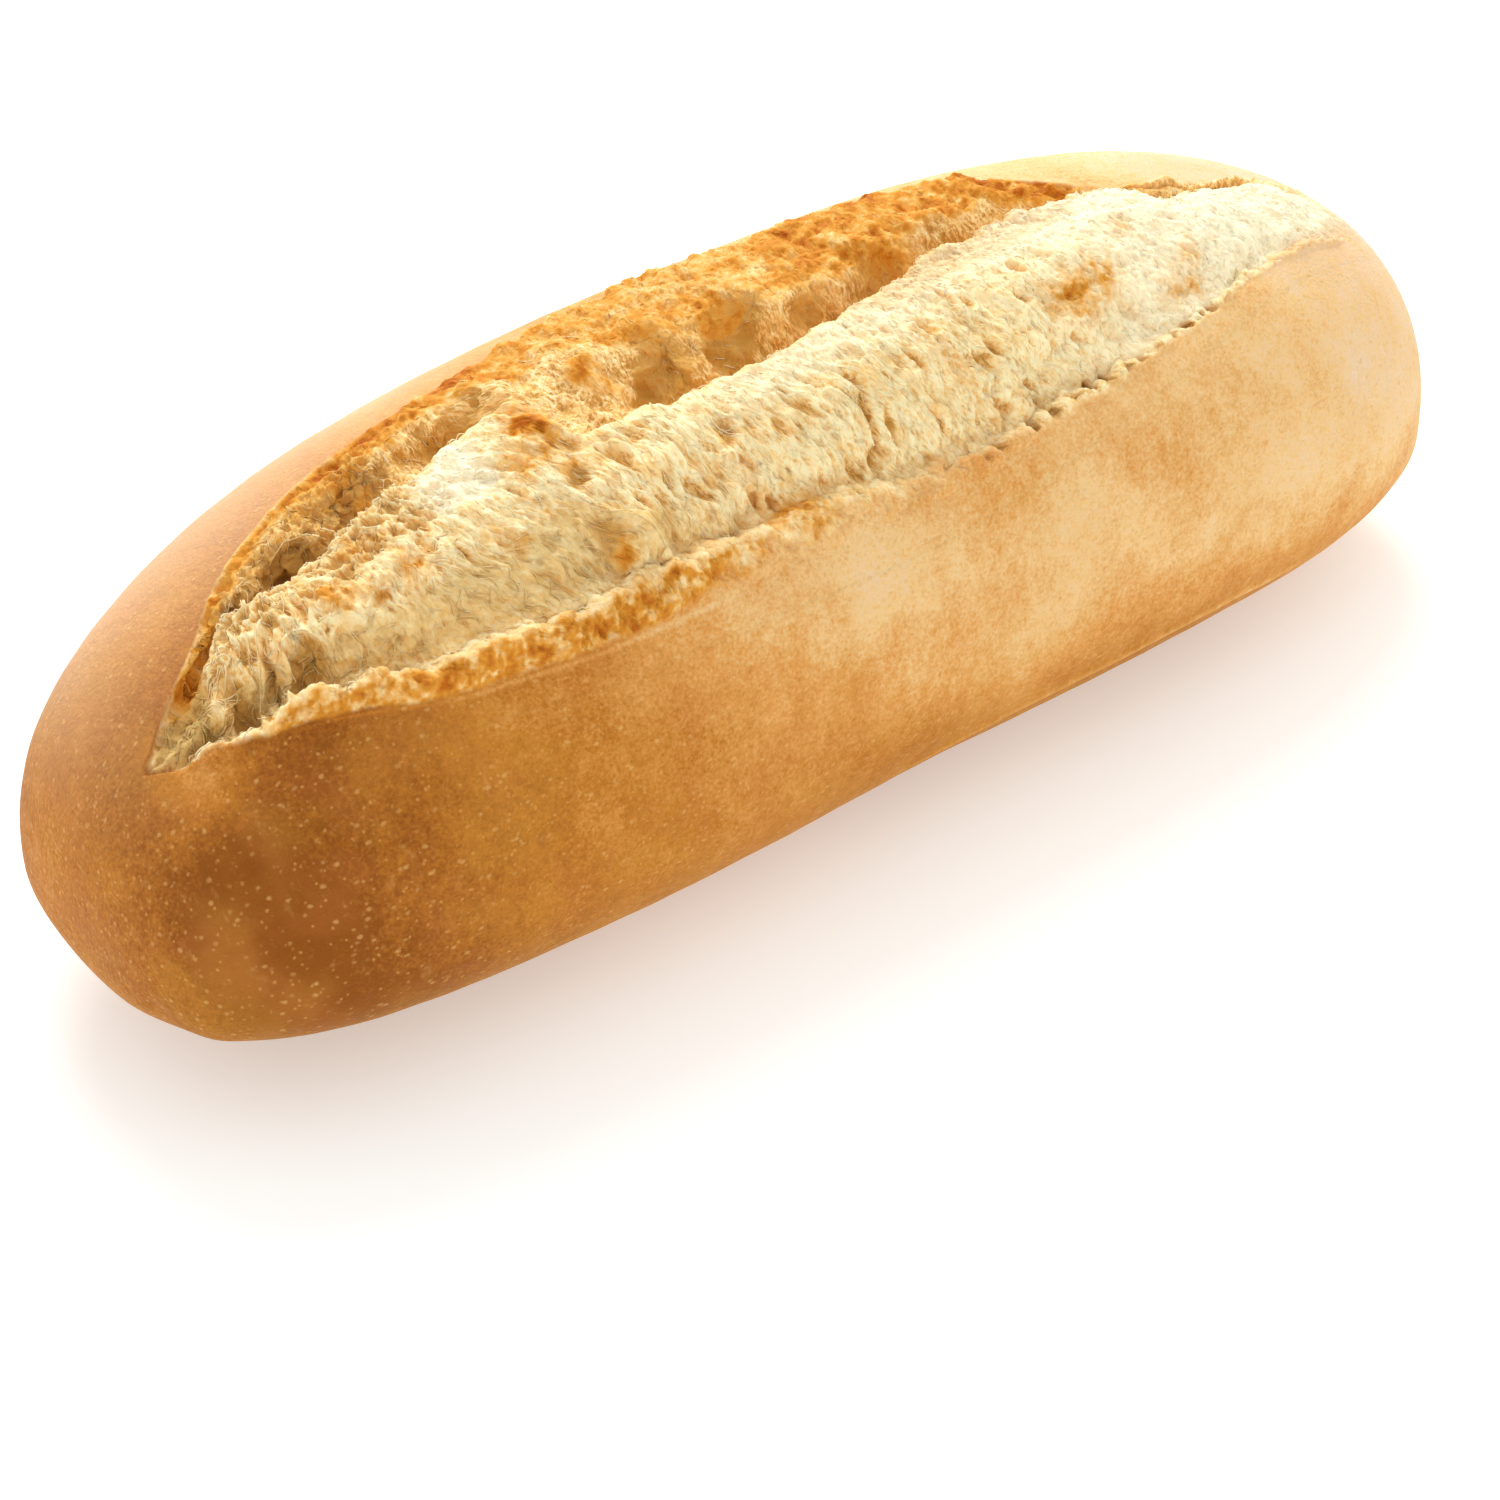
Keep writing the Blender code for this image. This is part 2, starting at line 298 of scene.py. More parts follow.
@dataclass(frozen=True)
class Loaf:
    """The plump loaf without its slash. Lengths are in millimetres."""

    length: float = 190.0
    width: float = 69.0
    height: float = 56.0
    waist: float = 0.37
    waist_drop: float = 0.08
    sink: float = 3.0
    bow: float = 5.5
    width_taper: float = 0.04
    height_taper: float = 0.02
    top_power: float = 2.2
    under_power: float = 2.0
    near_plan_power: float = 3.5
    far_plan_power: float = 2.9
    near_side_power: float = 2.6
    far_side_power: float = 2.9
    unevenness: float = 0.35
    wave: float = 26.0
    pinch: Knob = Knob(-93.8, -12.0, 13.0, 4.0, -1.0)

    def section(self, along: FloatArray) -> Section:
        """Reads the cross-section.

        Args:
            along: places along the roll.

        Returns:
            The section's middle, half width, waist height, and rise and drop from the waist.
        """
        share = np.clip(along / (self.length / 2), -1.0, 1.0)
        near = share < 0
        plan_power = np.where(near, self.near_plan_power, self.far_plan_power)
        side_power = np.where(near, self.near_side_power, self.far_side_power)
        roundness = (1 - np.abs(share) ** plan_power) ** (1 / plan_power)
        half_width = self.width / 2 * (1 + self.width_taper * share) * roundness
        fullness = (1 - np.abs(share) ** side_power) ** (1 / side_power)
        waist = self.height * (self.waist - self.waist_drop * share**2)
        rise = (self.height * (1 + self.height_taper * share) - waist) * fullness
        return Section(self.bow * (1 - share**2), half_width, waist, rise, (waist + self.sink) * fullness)

    def at_angle(self, along: FloatArray, angle: FloatArray) -> Pair:
        """Finds the plain surface by its angle round the section, from the far side over the top.

        Args:
            along: places along the roll.
            angle: angles in radians.

        Returns:
            How far across and how high the surface lies.
        """
        middle, half_width, waist, rise, drop = self.section(along)
        sideways, upwards = np.cos(angle), np.sin(angle)
        power = np.where(upwards > 0, self.top_power, self.under_power)
        across = middle + half_width * np.sign(sideways) * np.abs(sideways) ** (2 / power)
        reach = np.where(upwards > 0, rise, drop)
        height = waist + reach * np.sign(upwards) * np.abs(upwards) ** (2 / power)
        return across, np.maximum(height, 0.0)

    def angle_of(self, along: FloatArray, across: FloatArray) -> FloatArray:
        """The angle at which the loaf's top is this far across."""
        part = self.section(along)
        share = np.clip((across - part.middle) / np.maximum(part.half_width, TINY), -1.0, 1.0)
        return np.arccos(np.sign(share) * np.abs(share) ** (self.top_power / 2))

    def outward(self, along: FloatArray, across: FloatArray, height: FloatArray) -> FloatArray:
        """The way out of the section at each surface point.

        Args:
            along: places along the roll.
            across: how far across the points lie.
            height: how high they lie.

        Returns:
            Unit vectors, with the three axes last.
        """
        part = self.section(along)
        away = np.stack([0.0 * across, across - part.middle, height - part.waist], axis=-1)
        return away / np.maximum(np.linalg.norm(away, axis=-1, keepdims=True), TINY)

    def waviness(self, places: FloatArray) -> FloatArray:
        """How far the baked crust stands out of the plain form. It is nothing at the flat base."""
        lift = self.unevenness * perlin(places, self.wave) + self.pinch.shape(places)
        return lift * smoothstep(places[..., 2] / BASE_BAND)


class Crag(NamedTuple):
    """One soft bump, or with a minus sign a hollow, in the slash."""

    along: float
    across: float
    half_length: float
    half_width: float
    height: float

    def shape(self, along: FloatArray, across: FloatArray) -> FloatArray:
        """The bump's height at each place."""
        lengthwise = hill(along - self.along, self.half_length)
        return self.height * lengthwise * hill(across - self.across, self.half_width)


def crags(*rows: tuple[float, float, float, float, float]) -> tuple[Crag, ...]:
    """Crags from rows of numbers: along, across, half length, half width and height."""
    return tuple(Crag(*row) for row in rows)


def total(several: Iterable[Crag], along: FloatArray, across: FloatArray) -> FloatArray:
    """The summed height of several crags at places along and across the roll."""
    return sum((crag.shape(along, across) for crag in several), 0.0 * along + 0.0 * across)


class Lines(NamedTuple):
    """How far across the slash's lines lie, from the near edge to the far edge."""

    near: FloatArray
    lip: FloatArray
    trough: FloatArray
    shoulder: FloatArray
    crest: FloatArray
    brink: FloatArray
    furrow: FloatArray
    rim: FloatArray
    top: FloatArray
    far: FloatArray


@dataclass(frozen=True)
class Slash:
    """The burst slash's named lines and their heights over the plain loaf, in millimetres."""

    near_edge: Knots = ((-88, -4), (-84, -9.5), (-74, -14.1), (-59, -19.9), (-40, -22.3), (0, -23.2),
                        (20, -22.2), (43, -19.5), (60, -16), (80, -12), (90, -6))
    far_edge: Knots = ((-88, -4), (-85, -2.2), (-78, 1.9), (-71, 7.3), (-56, 13.2), (-40, 15.6),
                       (-12, 19.3), (5, 18.6), (20, 17), (34, 14.6), (43, 7.8), (50, 1.5), (60, 0.2),
                       (80, -1), (90, -3))
    brink: Knots = ((-88, -3.4), (-80, -1.2), (-73, 1), (-62, 0), (-50, 1.1), (-41, 3.2), (-34, -5.4),
                    (-12, -6.6), (5, -4.4), (25, -0.1), (40, 1.1), (47, 1.3), (54, -3.5), (65, -3),
                    (90, -4.5))
    lip_width: Knots = ((-88, 0.4), (-72, 1.6), (-47, 2.8), (-14, 2.6), (0, 1.6), (12, 0.7), (90, 0.5))
    trough_width: Knots = ((-88, 0.3), (-82, 2.4), (-74, 3.2), (-66, 1.6), (-40, 1.1), (90, 0.9))
    furrow_width: Knots = ((-88, 0.4), (-80, 0.7), (-66, 3), (-40, 3), (-20, 3.8), (5, 3.8), (34, 2.4),
                           (50, 1.6), (90, 0.5))
    top_width: float = 1.4
    lip_height: Knots = ((-86, 0), (-77, 0.4), (-72, 1.7), (-69, 1), (-47, 1.4), (-14, 0.6), (9, 0.4),
                         (60, 0.3), (90, 0))
    trough_height: Knots = ((-88, -0.6), (-84, -2.4), (-74, -3), (-66, -1.8), (-50, -1.3), (-20, -1),
                            (20, -1.4), (90, 0))
    crest_height: Knots = ((-88, -1.2), (-82, -2.4), (-77, 0.6), (-55, 1.9), (-36, 1.7), (0, 2.8),
                           (30, 2.6), (55, 1.2), (90, 0))
    brink_height: Knots = ((-88, -1.2), (-80, -1.5), (-74, 0.2), (-56, 1), (-27, 1.5), (9, 2.6),
                           (25, 2), (40, 1), (53, 0.3), (90, 0))
    furrow_height: Knots = ((-88, -1.2), (-80, -1.7), (-66, -2.4), (-42, -3), (-34, -1.8), (-27, -2.6),
                            (-12, -6), (9, -6.5), (25, -5.5), (40, -3.5), (48, -1.5), (60, -0.8),
                            (90, 0))
    top_height: Knots = ((-88, -0.4), (-78, 0), (-40, 0), (-12, 0.9), (16, 1), (34, 0.8), (44, 0.3),
                         (90, 0))
    rim_place: Knots = ((-88, 0.5), (-62, 0.5), (-42, 0.72), (-20, 0.57), (0, 0.38), (17, 0.39),
                        (39, 0.49), (90, 0.5))
    rim_height: Knots = ((-88, -1.2), (-80, -0.9), (-70, -0.4), (90, 0))
    shoulder_place: float = 0.25
    crest_place: float = 0.58
    shoulder_share: float = 0.4
    line_gap: float = 0.2
    crags: tuple[Crag, ...] = crags(
        (-72.5, -12, 1.8, 1.6, 1.8), (-36.5, -16.5, 3.2, 2.6, 3), (-36, 3, 2.6, 9, 2.2),
        (-66, 1.5, 3.6, 2.6, -2.2), (-56, 5.5, 4.2, 2.2, -1.6), (-41.5, 8, 4.8, 2.4, -1.8),
        (-26, 6.5, 3.4, 3.4, 1.8), (-19.5, 2.5, 3.4, 5.4, -2.6), (-14.6, 3, 1.6, 5, 1.4),
        (-9.8, 2, 4, 5.4, -3), (-3, 4.5, 2, 4.5, 1.6), (12, 3.5, 6.5, 3.6, -1.4), (39, 5, 5.5, 4, -1.6),
    )
    start: float = -89.0
    start_fade: float = 2.5
    end: float = 87.0
    end_fade: float = 14.0
    edge_fade: float = 0.8
    roughness: float = 0.7
    grain: float = 4.2
    fine_share: float = 0.5

    def edges(self, along: FloatArray) -> Pair:
        """How far across the near edge and the far edge lie."""
        return curve(self.near_edge, along), curve(self.far_edge, along)

    def ends(self, along: FloatArray, soft: float) -> FloatArray:
        """1 between the ends, falling to 0 over soft at the near end and slowly at the far end."""
        return smoothstep((along - self.start) / soft) * smoothstep((self.end - along) / self.end_fade)

    def lines(self, along: FloatArray) -> Lines:
        """How far across each of the slash's lines lies."""
        return Lines(*self.profile(along)[0])

    def profile(self, along: FloatArray) -> Pair:
        """Reads the slash's lines.

        Args:
            along: places along the roll.

        Returns:
            How far across and how high the ten lines lie, with the lines on the first axis.
        """
        (near, far), brink = self.edges(along), curve(self.brink, along)
        lip = near + curve(self.lip_width, along)
        trough = lip + curve(self.trough_width, along)
        crest_height = curve(self.crest_height, along)
        level = np.zeros_like(near)
        lines = (
            (near, level),
            (lip, curve(self.lip_height, along)),
            (trough, curve(self.trough_height, along)),
            (trough + (brink - trough) * self.shoulder_place, crest_height * self.shoulder_share),
            (trough + (brink - trough) * self.crest_place, crest_height),
            (brink, curve(self.brink_height, along)),
            (brink + curve(self.furrow_width, along), curve(self.furrow_height, along)),
            (brink + (far - brink) * curve(self.rim_place, along), curve(self.rim_height, along)),
            (far - self.top_width, curve(self.top_height, along)),
            (far, level),
        )
        across, height = (np.stack(values) for values in zip(*lines))
        steps = np.arange(len(lines)).reshape(-1, *[1] * np.ndim(along)) * self.line_gap
        return np.maximum.accumulate(across - steps, axis=0) + steps, height

    def relief(self, along: FloatArray, across: FloatArray) -> FloatArray:
        """Height of the torn crumb over the plain loaf at places along and across it."""
        return monotone_curve(*self.profile(along), across) + total(self.crags, along, across)

    def inside(self, along: FloatArray, across: FloatArray) -> FloatArray:
        """1 well inside the slash, falling to 0 at its edges and its two ends."""
        return between(across, *self.edges(along), self.edge_fade) * self.ends(along, self.start_fade)

    def crumbling(self, places: FloatArray) -> FloatArray:
        """The large crags of the torn crumb at places on the plain loaf."""
        fine = self.fine_share * perlin(places, self.grain / 2)
        return self.roughness * (perlin(places, self.grain) + fine)


def packed(points: FloatArray) -> FloatArray:
    """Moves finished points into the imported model's frame and keeps them inside its box.

    Args:
        points: places in the loaf's own frame, in millimetres, with the three axes last.

    Returns:
        Places in metres.
    """
    low, high = (np.array(corner) / MM for corner in CAD_BOX)
    moved = points - [0.0, PLAN_SHIFT, 0.0]
    knee = high[2] - TOP_ROOM
    over = np.maximum(moved[..., 2] - knee, 0.0)
    moved[..., 2] = np.minimum(moved[..., 2], knee) + TOP_ROOM * (1 - np.exp(-over / TOP_ROOM))
    clearance = np.array([BOX_CLEARANCE, BOX_CLEARANCE, 0.0])
    return np.clip(moved, low + clearance, high - [BOX_CLEARANCE] * 3) * MM


# -------- how dark the crust is baked


@dataclass(frozen=True)
class Crease:
    """A faint fold low on the near side, where the crust turns under."""

    height: Knots = ((-12, 9.5), (0, 11), (20, 12.5), (45, 13), (60, 12.5))
    first: float = -12.0
    last: float = 62.0
    fade: float = 12.0
    side_fade: float = 10.0

    def over(self, places: FloatArray) -> FloatArray:
        """How far each place lies over the fold."""
        return places[..., 2] - curve(self.height, places[..., 0])

    def run(self, places: FloatArray) -> FloatArray:
        """1 on the stretch of the near side that has the fold, 0 elsewhere."""
        near_side = smoothstep(-places[..., 1] / self.side_fade)
        return between(places[..., 0], self.first, self.last, self.fade) * near_side


@dataclass(frozen=True)
class Baking:
    """How far the crust is baked, from 0, pale dough, to 1, dark brown."""

    along_roll: Knots = ((-95, 0.72), (-85, 0.84), (-70, 0.82), (-45, 0.63), (-20, 0.46), (0, 0.38),
                         (20, 0.31), (45, 0.26), (70, 0.2), (95, 0.15))
    low_band: Knots = ((-95, 0.0), (-40, 0.06), (0, 0.24), (50, 0.33), (95, 0.2))
    low_band_height: float = 27.0
    low_band_fade: float = 16.0
    far_side: float = -0.06
    far_side_fade: float = 10.0
    patches: tuple[Knob, ...] = knobs(  # single browner and paler patches
        (-9, -26, 38, 10, -0.2), (-22, -25, 41, 9, -0.17), (-34, -25, 40, 8, -0.15),
        (-85, -10, 37.5, 4.6, -0.26), (8, -24, 40, 6.5, 0.12), (-5, -28, 14, 7, 0.07),
        (78, 0, 52, 22, -0.2), (-60, -26, 30, 14, 0.04), (-83, -24, 19, 12, 0.18),
        (-86, -17, 31, 7, 0.08), (-58, -22, 40, 8, -0.12), (-57, -28, 21, 8, -0.08),
        (-46, -24, 40, 7, -0.08), (-17, -28, 14, 8, 0.08), (28, -29, 16, 8, 0.07),
        (58, -24, 32, 14, -0.06), (-70, -26, 26, 9, -0.13), (-95, 3, 27, 7, -0.09),
        (-78, 9, 43, 9, -0.08), (12, -28, 30, 12, -0.1), (58, 28, 38, 34, 0.08), (4, 32, 34, 34, 0.06),
    )
    crease: Crease = Crease()
    under_crease: float = 0.12
    under_crease_fade: float = 1.5
    crease_line: float = -0.2
    crease_line_width: float = 0.55
    mottle: float = 0.05
    mottle_size: float = 17.0
    # painted sheen: pale patches high on the crust that stand in for the light it reflects
    rosy: tuple[Crag, ...] = crags(
        (-70, 22, 26, 16, 0.8), (-90, 6, 8, 14, 0.1), (-40, 27, 16, 9, 0.7),
    )
    rosy_foot: float = 24.0
    rosy_rise: float = 14.0

    def level(self, places: FloatArray) -> FloatArray:
        """Reads how far the crust is baked.

        Args:
            places: points on the loaf in its own frame, with the three axes last.

        Returns:
            The level at each point.
        """
        along, across, height = np.moveaxis(places, -1, 0)
        level = curve(self.along_roll, along)
        low = smoothstep((self.low_band_height - height) / self.low_band_fade)
        level += curve(self.low_band, along) * low
        level += self.far_side * smoothstep(across / self.far_side_fade)
        level += sum(patch.shape(places) for patch in self.patches)
        over, run = self.crease.over(places), self.crease.run(places)
        under, line = smoothstep(-over / self.under_crease_fade), hill(over, self.crease_line_width)
        level += run * (self.under_crease * under + self.crease_line * line)
        level += self.mottle * lattice_noise(places / self.mottle_size, Seed.MOTTLES)
        return np.clip(level, 0.0, 1.0)

    def blush(self, places: FloatArray) -> FloatArray:
        """Where a painted sheen lightens the crust in place of the light it reflects: high on the near end
        and along the back of the slash.
        """
        rosy = total(self.rosy, places[..., 0], places[..., 1])
        return rosy * smoothstep((places[..., 2] - self.rosy_foot) / self.rosy_rise)


# -------- shader node groups


def paint(red: int, green: int, blue: int) -> Colour:
    """A colour as it is named on a paint card, made linear for a shader.

    Args:
        red: red from 0 to 255.
        green: green from 0 to 255.
        blue: blue from 0 to 255.

    Returns:
        The linear colour with full cover.
    """
    shares = [value / 255 for value in (red, green, blue)]
    linear = [s / 12.92 if s <= 0.04045 else ((s + 0.055) / 1.055) ** 2.4 for s in shares]
    return (linear[0], linear[1], linear[2], 1.0)


class Grading(Enum):
    """How a range is carried over to another."""

    EVEN = "LINEAR"
    SOFT = "SMOOTHSTEP"


class Layer(NamedTuple):
    """One cloudy noise of a shader."""

    size: float  # the width of its largest features, in millimetres
    detail: float  # how many finer layers it has
    rough: float = 0.55  # how strong each finer layer is
    stretch: float = 1.0  # how many times longer its features are across the roll


@dataclass
class Wiring:
    """Adds nodes to one node tree and joins them up."""

    tree: NodeTree

    def node(self, kind: str, **settings: object) -> Node:
        """Adds a node and sets its options.

        Args:
            kind: the node's type name.
            **settings: options of the node.

        Returns:
            The new node.
        """
        made = self.tree.nodes.new(kind)
        for name, value in settings.items():
            setattr(made, name, value)
        return made

    def feed(self, socket: NodeSocket, value: object) -> None:
        """Joins a socket to another, or sets its plain value.

        Args:
            socket: the input to fill.
            value: a socket, a number or a colour.
        """
        if isinstance(value, NodeSocket):
            self.tree.links.new(value, socket)
        else:
            socket.default_value = value

    def mark(self, name: str, output: str = "Fac") -> NodeSocket:
        """What a piece keeps on its vertices under a name."""
        return self.node("ShaderNodeAttribute", attribute_name=name).outputs[output]

    def grain(self, place: NodeSocket, layer: Layer) -> NodeSocket:
        """Cloudy noise.

        Args:
            place: the coordinates in metres.
            layer: its size and strength.

        Returns:
            The noise's socket, about 0.5 on average.
        """
        made = self.node("ShaderNodeTexNoise")
        drawn_out = place if layer.stretch == 1.0 else self.stretched(place, layer.stretch)
        self.feed(made.inputs["Vector"], drawn_out)
        made.inputs["Scale"].default_value = 1 / (layer.size * MM)
        made.inputs["Detail"].default_value = layer.detail
        made.inputs["Roughness"].default_value = layer.rough
        return made.outputs["Fac"]

    def cells(self, place: NodeSocket, size: float) -> Node:
        """Irregular cells of about this size in millimetres, as a node with distances and chances."""
        made = self.node("ShaderNodeTexVoronoi")
        self.feed(made.inputs["Vector"], place)
        made.inputs["Scale"].default_value = 1 / (size * MM)
        return made

    def stretched(self, place: NodeSocket, across: float) -> NodeSocket:
        """Coordinates in which patterns grow this many times longer across the roll and upwards."""
        made = self.node("ShaderNodeMapping")
        self.feed(made.inputs["Vector"], place)
        made.inputs["Scale"].default_value = (1.0, 1 / across, 1 / across)
        return made.outputs["Vector"]

    def bumped(self, height: object) -> NodeSocket:
        """Normals that follow a height in millimetres."""
        made = self.node("ShaderNodeBump")
        made.inputs["Distance"].default_value = MM
        self.feed(made.inputs["Height"], height)
        return made.outputs["Normal"]

    def times(self, first: object, second: object) -> NodeSocket:
        """The product of two sockets or numbers."""
        return self.arithmetic("MULTIPLY", first, second)

    def plus(self, first: object, second: object) -> NodeSocket:
        """The sum of two sockets or numbers."""
        return self.arithmetic("ADD", first, second)

    def arithmetic(self, operation: str, first: object, second: object) -> NodeSocket:
        """One step of arithmetic.

        Args:
            operation: the operation's name.
            first: a socket or number.
            second: a socket or number.

        Returns:
            The result's socket.
        """
        made = self.node("ShaderNodeMath", operation=operation)
        self.feed(made.inputs[0], first)
        self.feed(made.inputs[1], second)
        return made.outputs[0]

    def graded(self, value: object, low: float, high: float, to_low: float = 0.0, to_high: float = 1.0,
               grading: Grading = Grading.SOFT) -> NodeSocket:
        """Carries one range over to another.

        Args:
            value: the socket to read.
            low: start of its range.
            high: end of its range.
            to_low: what the start becomes.
            to_high: what the end becomes.
            grading: how the values between go over.

        Returns:
            The result's socket.
        """
        made = self.node("ShaderNodeMapRange", interpolation_type=grading.value)
        for name, given in (("Value", value), ("From Min", low), ("From Max", high), ("To Min", to_low),
                            ("To Max", to_high)):
            self.feed(made.inputs[name], given)
        return made.outputs["Result"]

    def blend(self, share: object, first: object, second: object) -> NodeSocket:
        """A colour between two.

        Args:
            share: how much of the second shows.
            first: a colour or its socket.
            second: a colour or its socket.

        Returns:
            The colour's socket.
        """
        made = self.node("ShaderNodeMix", data_type="RGBA", clamp_factor=True)
        self.feed(made.inputs["Factor"], share)
        self.feed(next(end for end in made.inputs if end.type == "RGBA" and end.name == "A"), first)
        self.feed(next(end for end in made.inputs if end.type == "RGBA" and end.name == "B"), second)
        return next(end for end in made.outputs if end.type == "RGBA")

    def ramp(self, value: object, stops: Iterable[tuple[float, Colour]]) -> NodeSocket:
        """A run of colours.

        Args:
            value: the socket that picks the colour.
            stops: places on the run and their colours.

        Returns:
            The colour's socket.
        """
        made = self.node("ShaderNodeValToRGB")
        band = made.color_ramp
        band.interpolation = "LINEAR"
        for i, (place, colour) in enumerate(stops):
            stop = band.elements[i] if i < len(band.elements) else band.elements.new(place)
            stop.position = place
            stop.color = colour
        self.feed(made.inputs["Fac"], value)
        return made.outputs["Color"]

    def give(self, **results: object) -> None:
        """Feeds the group's outputs by name."""
        ends = self.node("NodeGroupOutput").inputs
        for name, value in results.items():
            self.feed(ends[name], value)


def new_group(name: str, **inputs: str) -> Wiring:
    """Starts a shader node group that gives Colour, Roughness and Height.

    Args:
        name: the group's name.
        **inputs: the kinds of its inputs, by name.

    Returns:
        The wiring of the empty group.
    """
    tree = bpy.data.node_groups.new(name, "ShaderNodeTree")
    outputs = {"Colour": "Color", "Roughness": "Float", "Height": "Float"}
    for way, sockets in (("INPUT", inputs), ("OUTPUT", outputs)):
        for label, kind in sockets.items():
            tree.interface.new_socket(name=label, in_out=way, socket_type=f"NodeSocket{kind}")
    return Wiring(tree)


@dataclass(frozen=True)
class CrustBrowning:
    """The shader group for baked crust: colour by baking, blisters, mottles, a leathery grain and a painted
    sheen.
    """

    pale: Colour = paint(234, 203, 168)
    light: Colour = paint(237, 196, 134)
    golden: Colour = paint(221, 158, 82)
    brown: Colour = paint(190, 120, 38)
    dark: Colour = paint(142, 78, 16)
    ochre: Colour = paint(204, 144, 52)
    rose: Colour = paint(210, 128, 66)
    speck: Colour = paint(230, 174, 98)
    blister: Colour = paint(232, 180, 106)
    blush: Colour = paint(243, 202, 160)
    cloud: Layer = Layer(9.0, 3.0)
    streak: Layer = Layer(3.6, 4.0, 0.6, 2.2)
    fleck: Layer = Layer(1.3, 3.0, 0.65)
    leather: Layer = Layer(0.42, 2.0, 0.6)
    wisp: Layer = Layer(1.3, 4.0, 0.6, 2.4)
    blister_cover: float = 0.46
    pimple_cover: float = 0.4
    blush_cover: float = 0.7
    shake: float = 0.4
    shake_size: float = 0.6
    low_band: tuple[float, float] = (5.0, 18.0)  # heights between which the ochre above the base fades out

    def build(self) -> NodeTree:
        """Makes the group.

        Returns:
            A group that takes Place, Bake and Blush, the share of painted sheen, and gives Colour,
            Roughness and Height in millimetres.
        """
        wiring = new_group("crust_browning", Place="Vector", Bake="Float", Blush="Float")
        given = wiring.node("NodeGroupInput").outputs
        place = given["Place"]
        layers = (self.cloud, self.streak, self.fleck, self.leather)
        cloud, streak, fleck, leather = (wiring.grain(place, layer) for layer in layers)
        bake = given["Bake"]
        for layer, reach in ((cloud, 0.07), (streak, 0.06), (fleck, 0.07), (leather, 0.1)):
            bake = wiring.plus(bake, wiring.graded(layer, 0.25, 0.75, -reach, reach, Grading.EVEN))
        colour = wiring.ramp(bake, ((0.0, self.pale), (0.22, self.light), (0.42, self.golden),
                                    (0.64, self.brown), (0.9, self.dark)))
        browned = wiring.graded(bake, 0.15, 0.6, 0.35, 1.0)
        for size, share, hue in ((14.0, 0.25, self.ochre), (9.0, 0.14, self.rose)):
            patches = wiring.graded(wiring.grain(place, Layer(size, 3.0)), 0.44, 0.64, 0.0, share)
            colour = wiring.blend(wiring.times(patches, browned), colour, hue)
        above = wiring.node("ShaderNodeSeparateXYZ")
        wiring.feed(above.inputs[0], place)
        low = wiring.graded(above.outputs["Z"], *(height * MM for height in self.low_band), 0.45, 0.0)
        colour = wiring.blend(wiring.times(low, browned), colour, self.ochre)
        wisps = wiring.graded(wiring.grain(place, self.wisp), 0.58, 0.78, 0.0, 0.18)
        colour = wiring.blend(wisps, colour, self.blister)
        blister = self.spots(wiring, wiring.stretched(place, 0.75), 1.6, 0.29)
        pimple = self.spots(wiring, place, 0.85, 0.3)
        colour = wiring.blend(wiring.times(blister, self.blister_cover), colour, self.blister)
        colour = wiring.blend(wiring.times(pimple, self.pimple_cover), colour, self.speck)
        # painted sheen: a pale veil that stands in for reflected light
        colour = wiring.blend(wiring.times(given["Blush"], self.blush_cover), colour, self.blush)
        height = wiring.plus(wiring.times(leather, 0.2), wiring.times(blister, 0.08))
        height = wiring.plus(height, wiring.times(fleck, 0.26))
        roughness = wiring.graded(fleck, 0.2, 0.8, 0.48, 0.66, Grading.EVEN)
        wiring.give(Colour=colour, Roughness=roughness, Height=height)
        return wiring.tree

    def spots(self, wiring: Wiring, place: NodeSocket, apart: float, radius: float) -> NodeSocket:
        """Scattered round spots.

        Args:
            wiring: the group's wiring.
            place: the coordinates in metres.
            apart: the usual distance between neighbours, in millimetres.
            radius: the largest spot's radius, as a share of that distance.

        Returns:
            The socket of a mask, 1 in the middle of a spot.
        """
        cells = wiring.cells(self.ragged(wiring, place), apart)
        picked = wiring.graded(cells.outputs["Color"], 0.2, 0.7)
        within = wiring.graded(cells.outputs["Distance"], 0.3 * radius, radius, 1.0, 0.0)
        return wiring.times(picked, within)

    def ragged(self, wiring: Wiring, place: NodeSocket) -> NodeSocket:
        """Coordinates shaken a little, so that spots on them have uneven outlines."""
        shake = wiring.node("ShaderNodeTexNoise")
        wiring.feed(shake.inputs["Vector"], place)
        shake.inputs["Scale"].default_value = 1 / (self.shake_size * MM)
        moved = wiring.node("ShaderNodeVectorMath", operation="MULTIPLY_ADD")
        wiring.feed(moved.inputs[0], shake.outputs["Color"])
        moved.inputs[1].default_value = (self.shake * MM,) * 3
        wiring.feed(moved.inputs[2], place)
        return moved.outputs["Vector"]


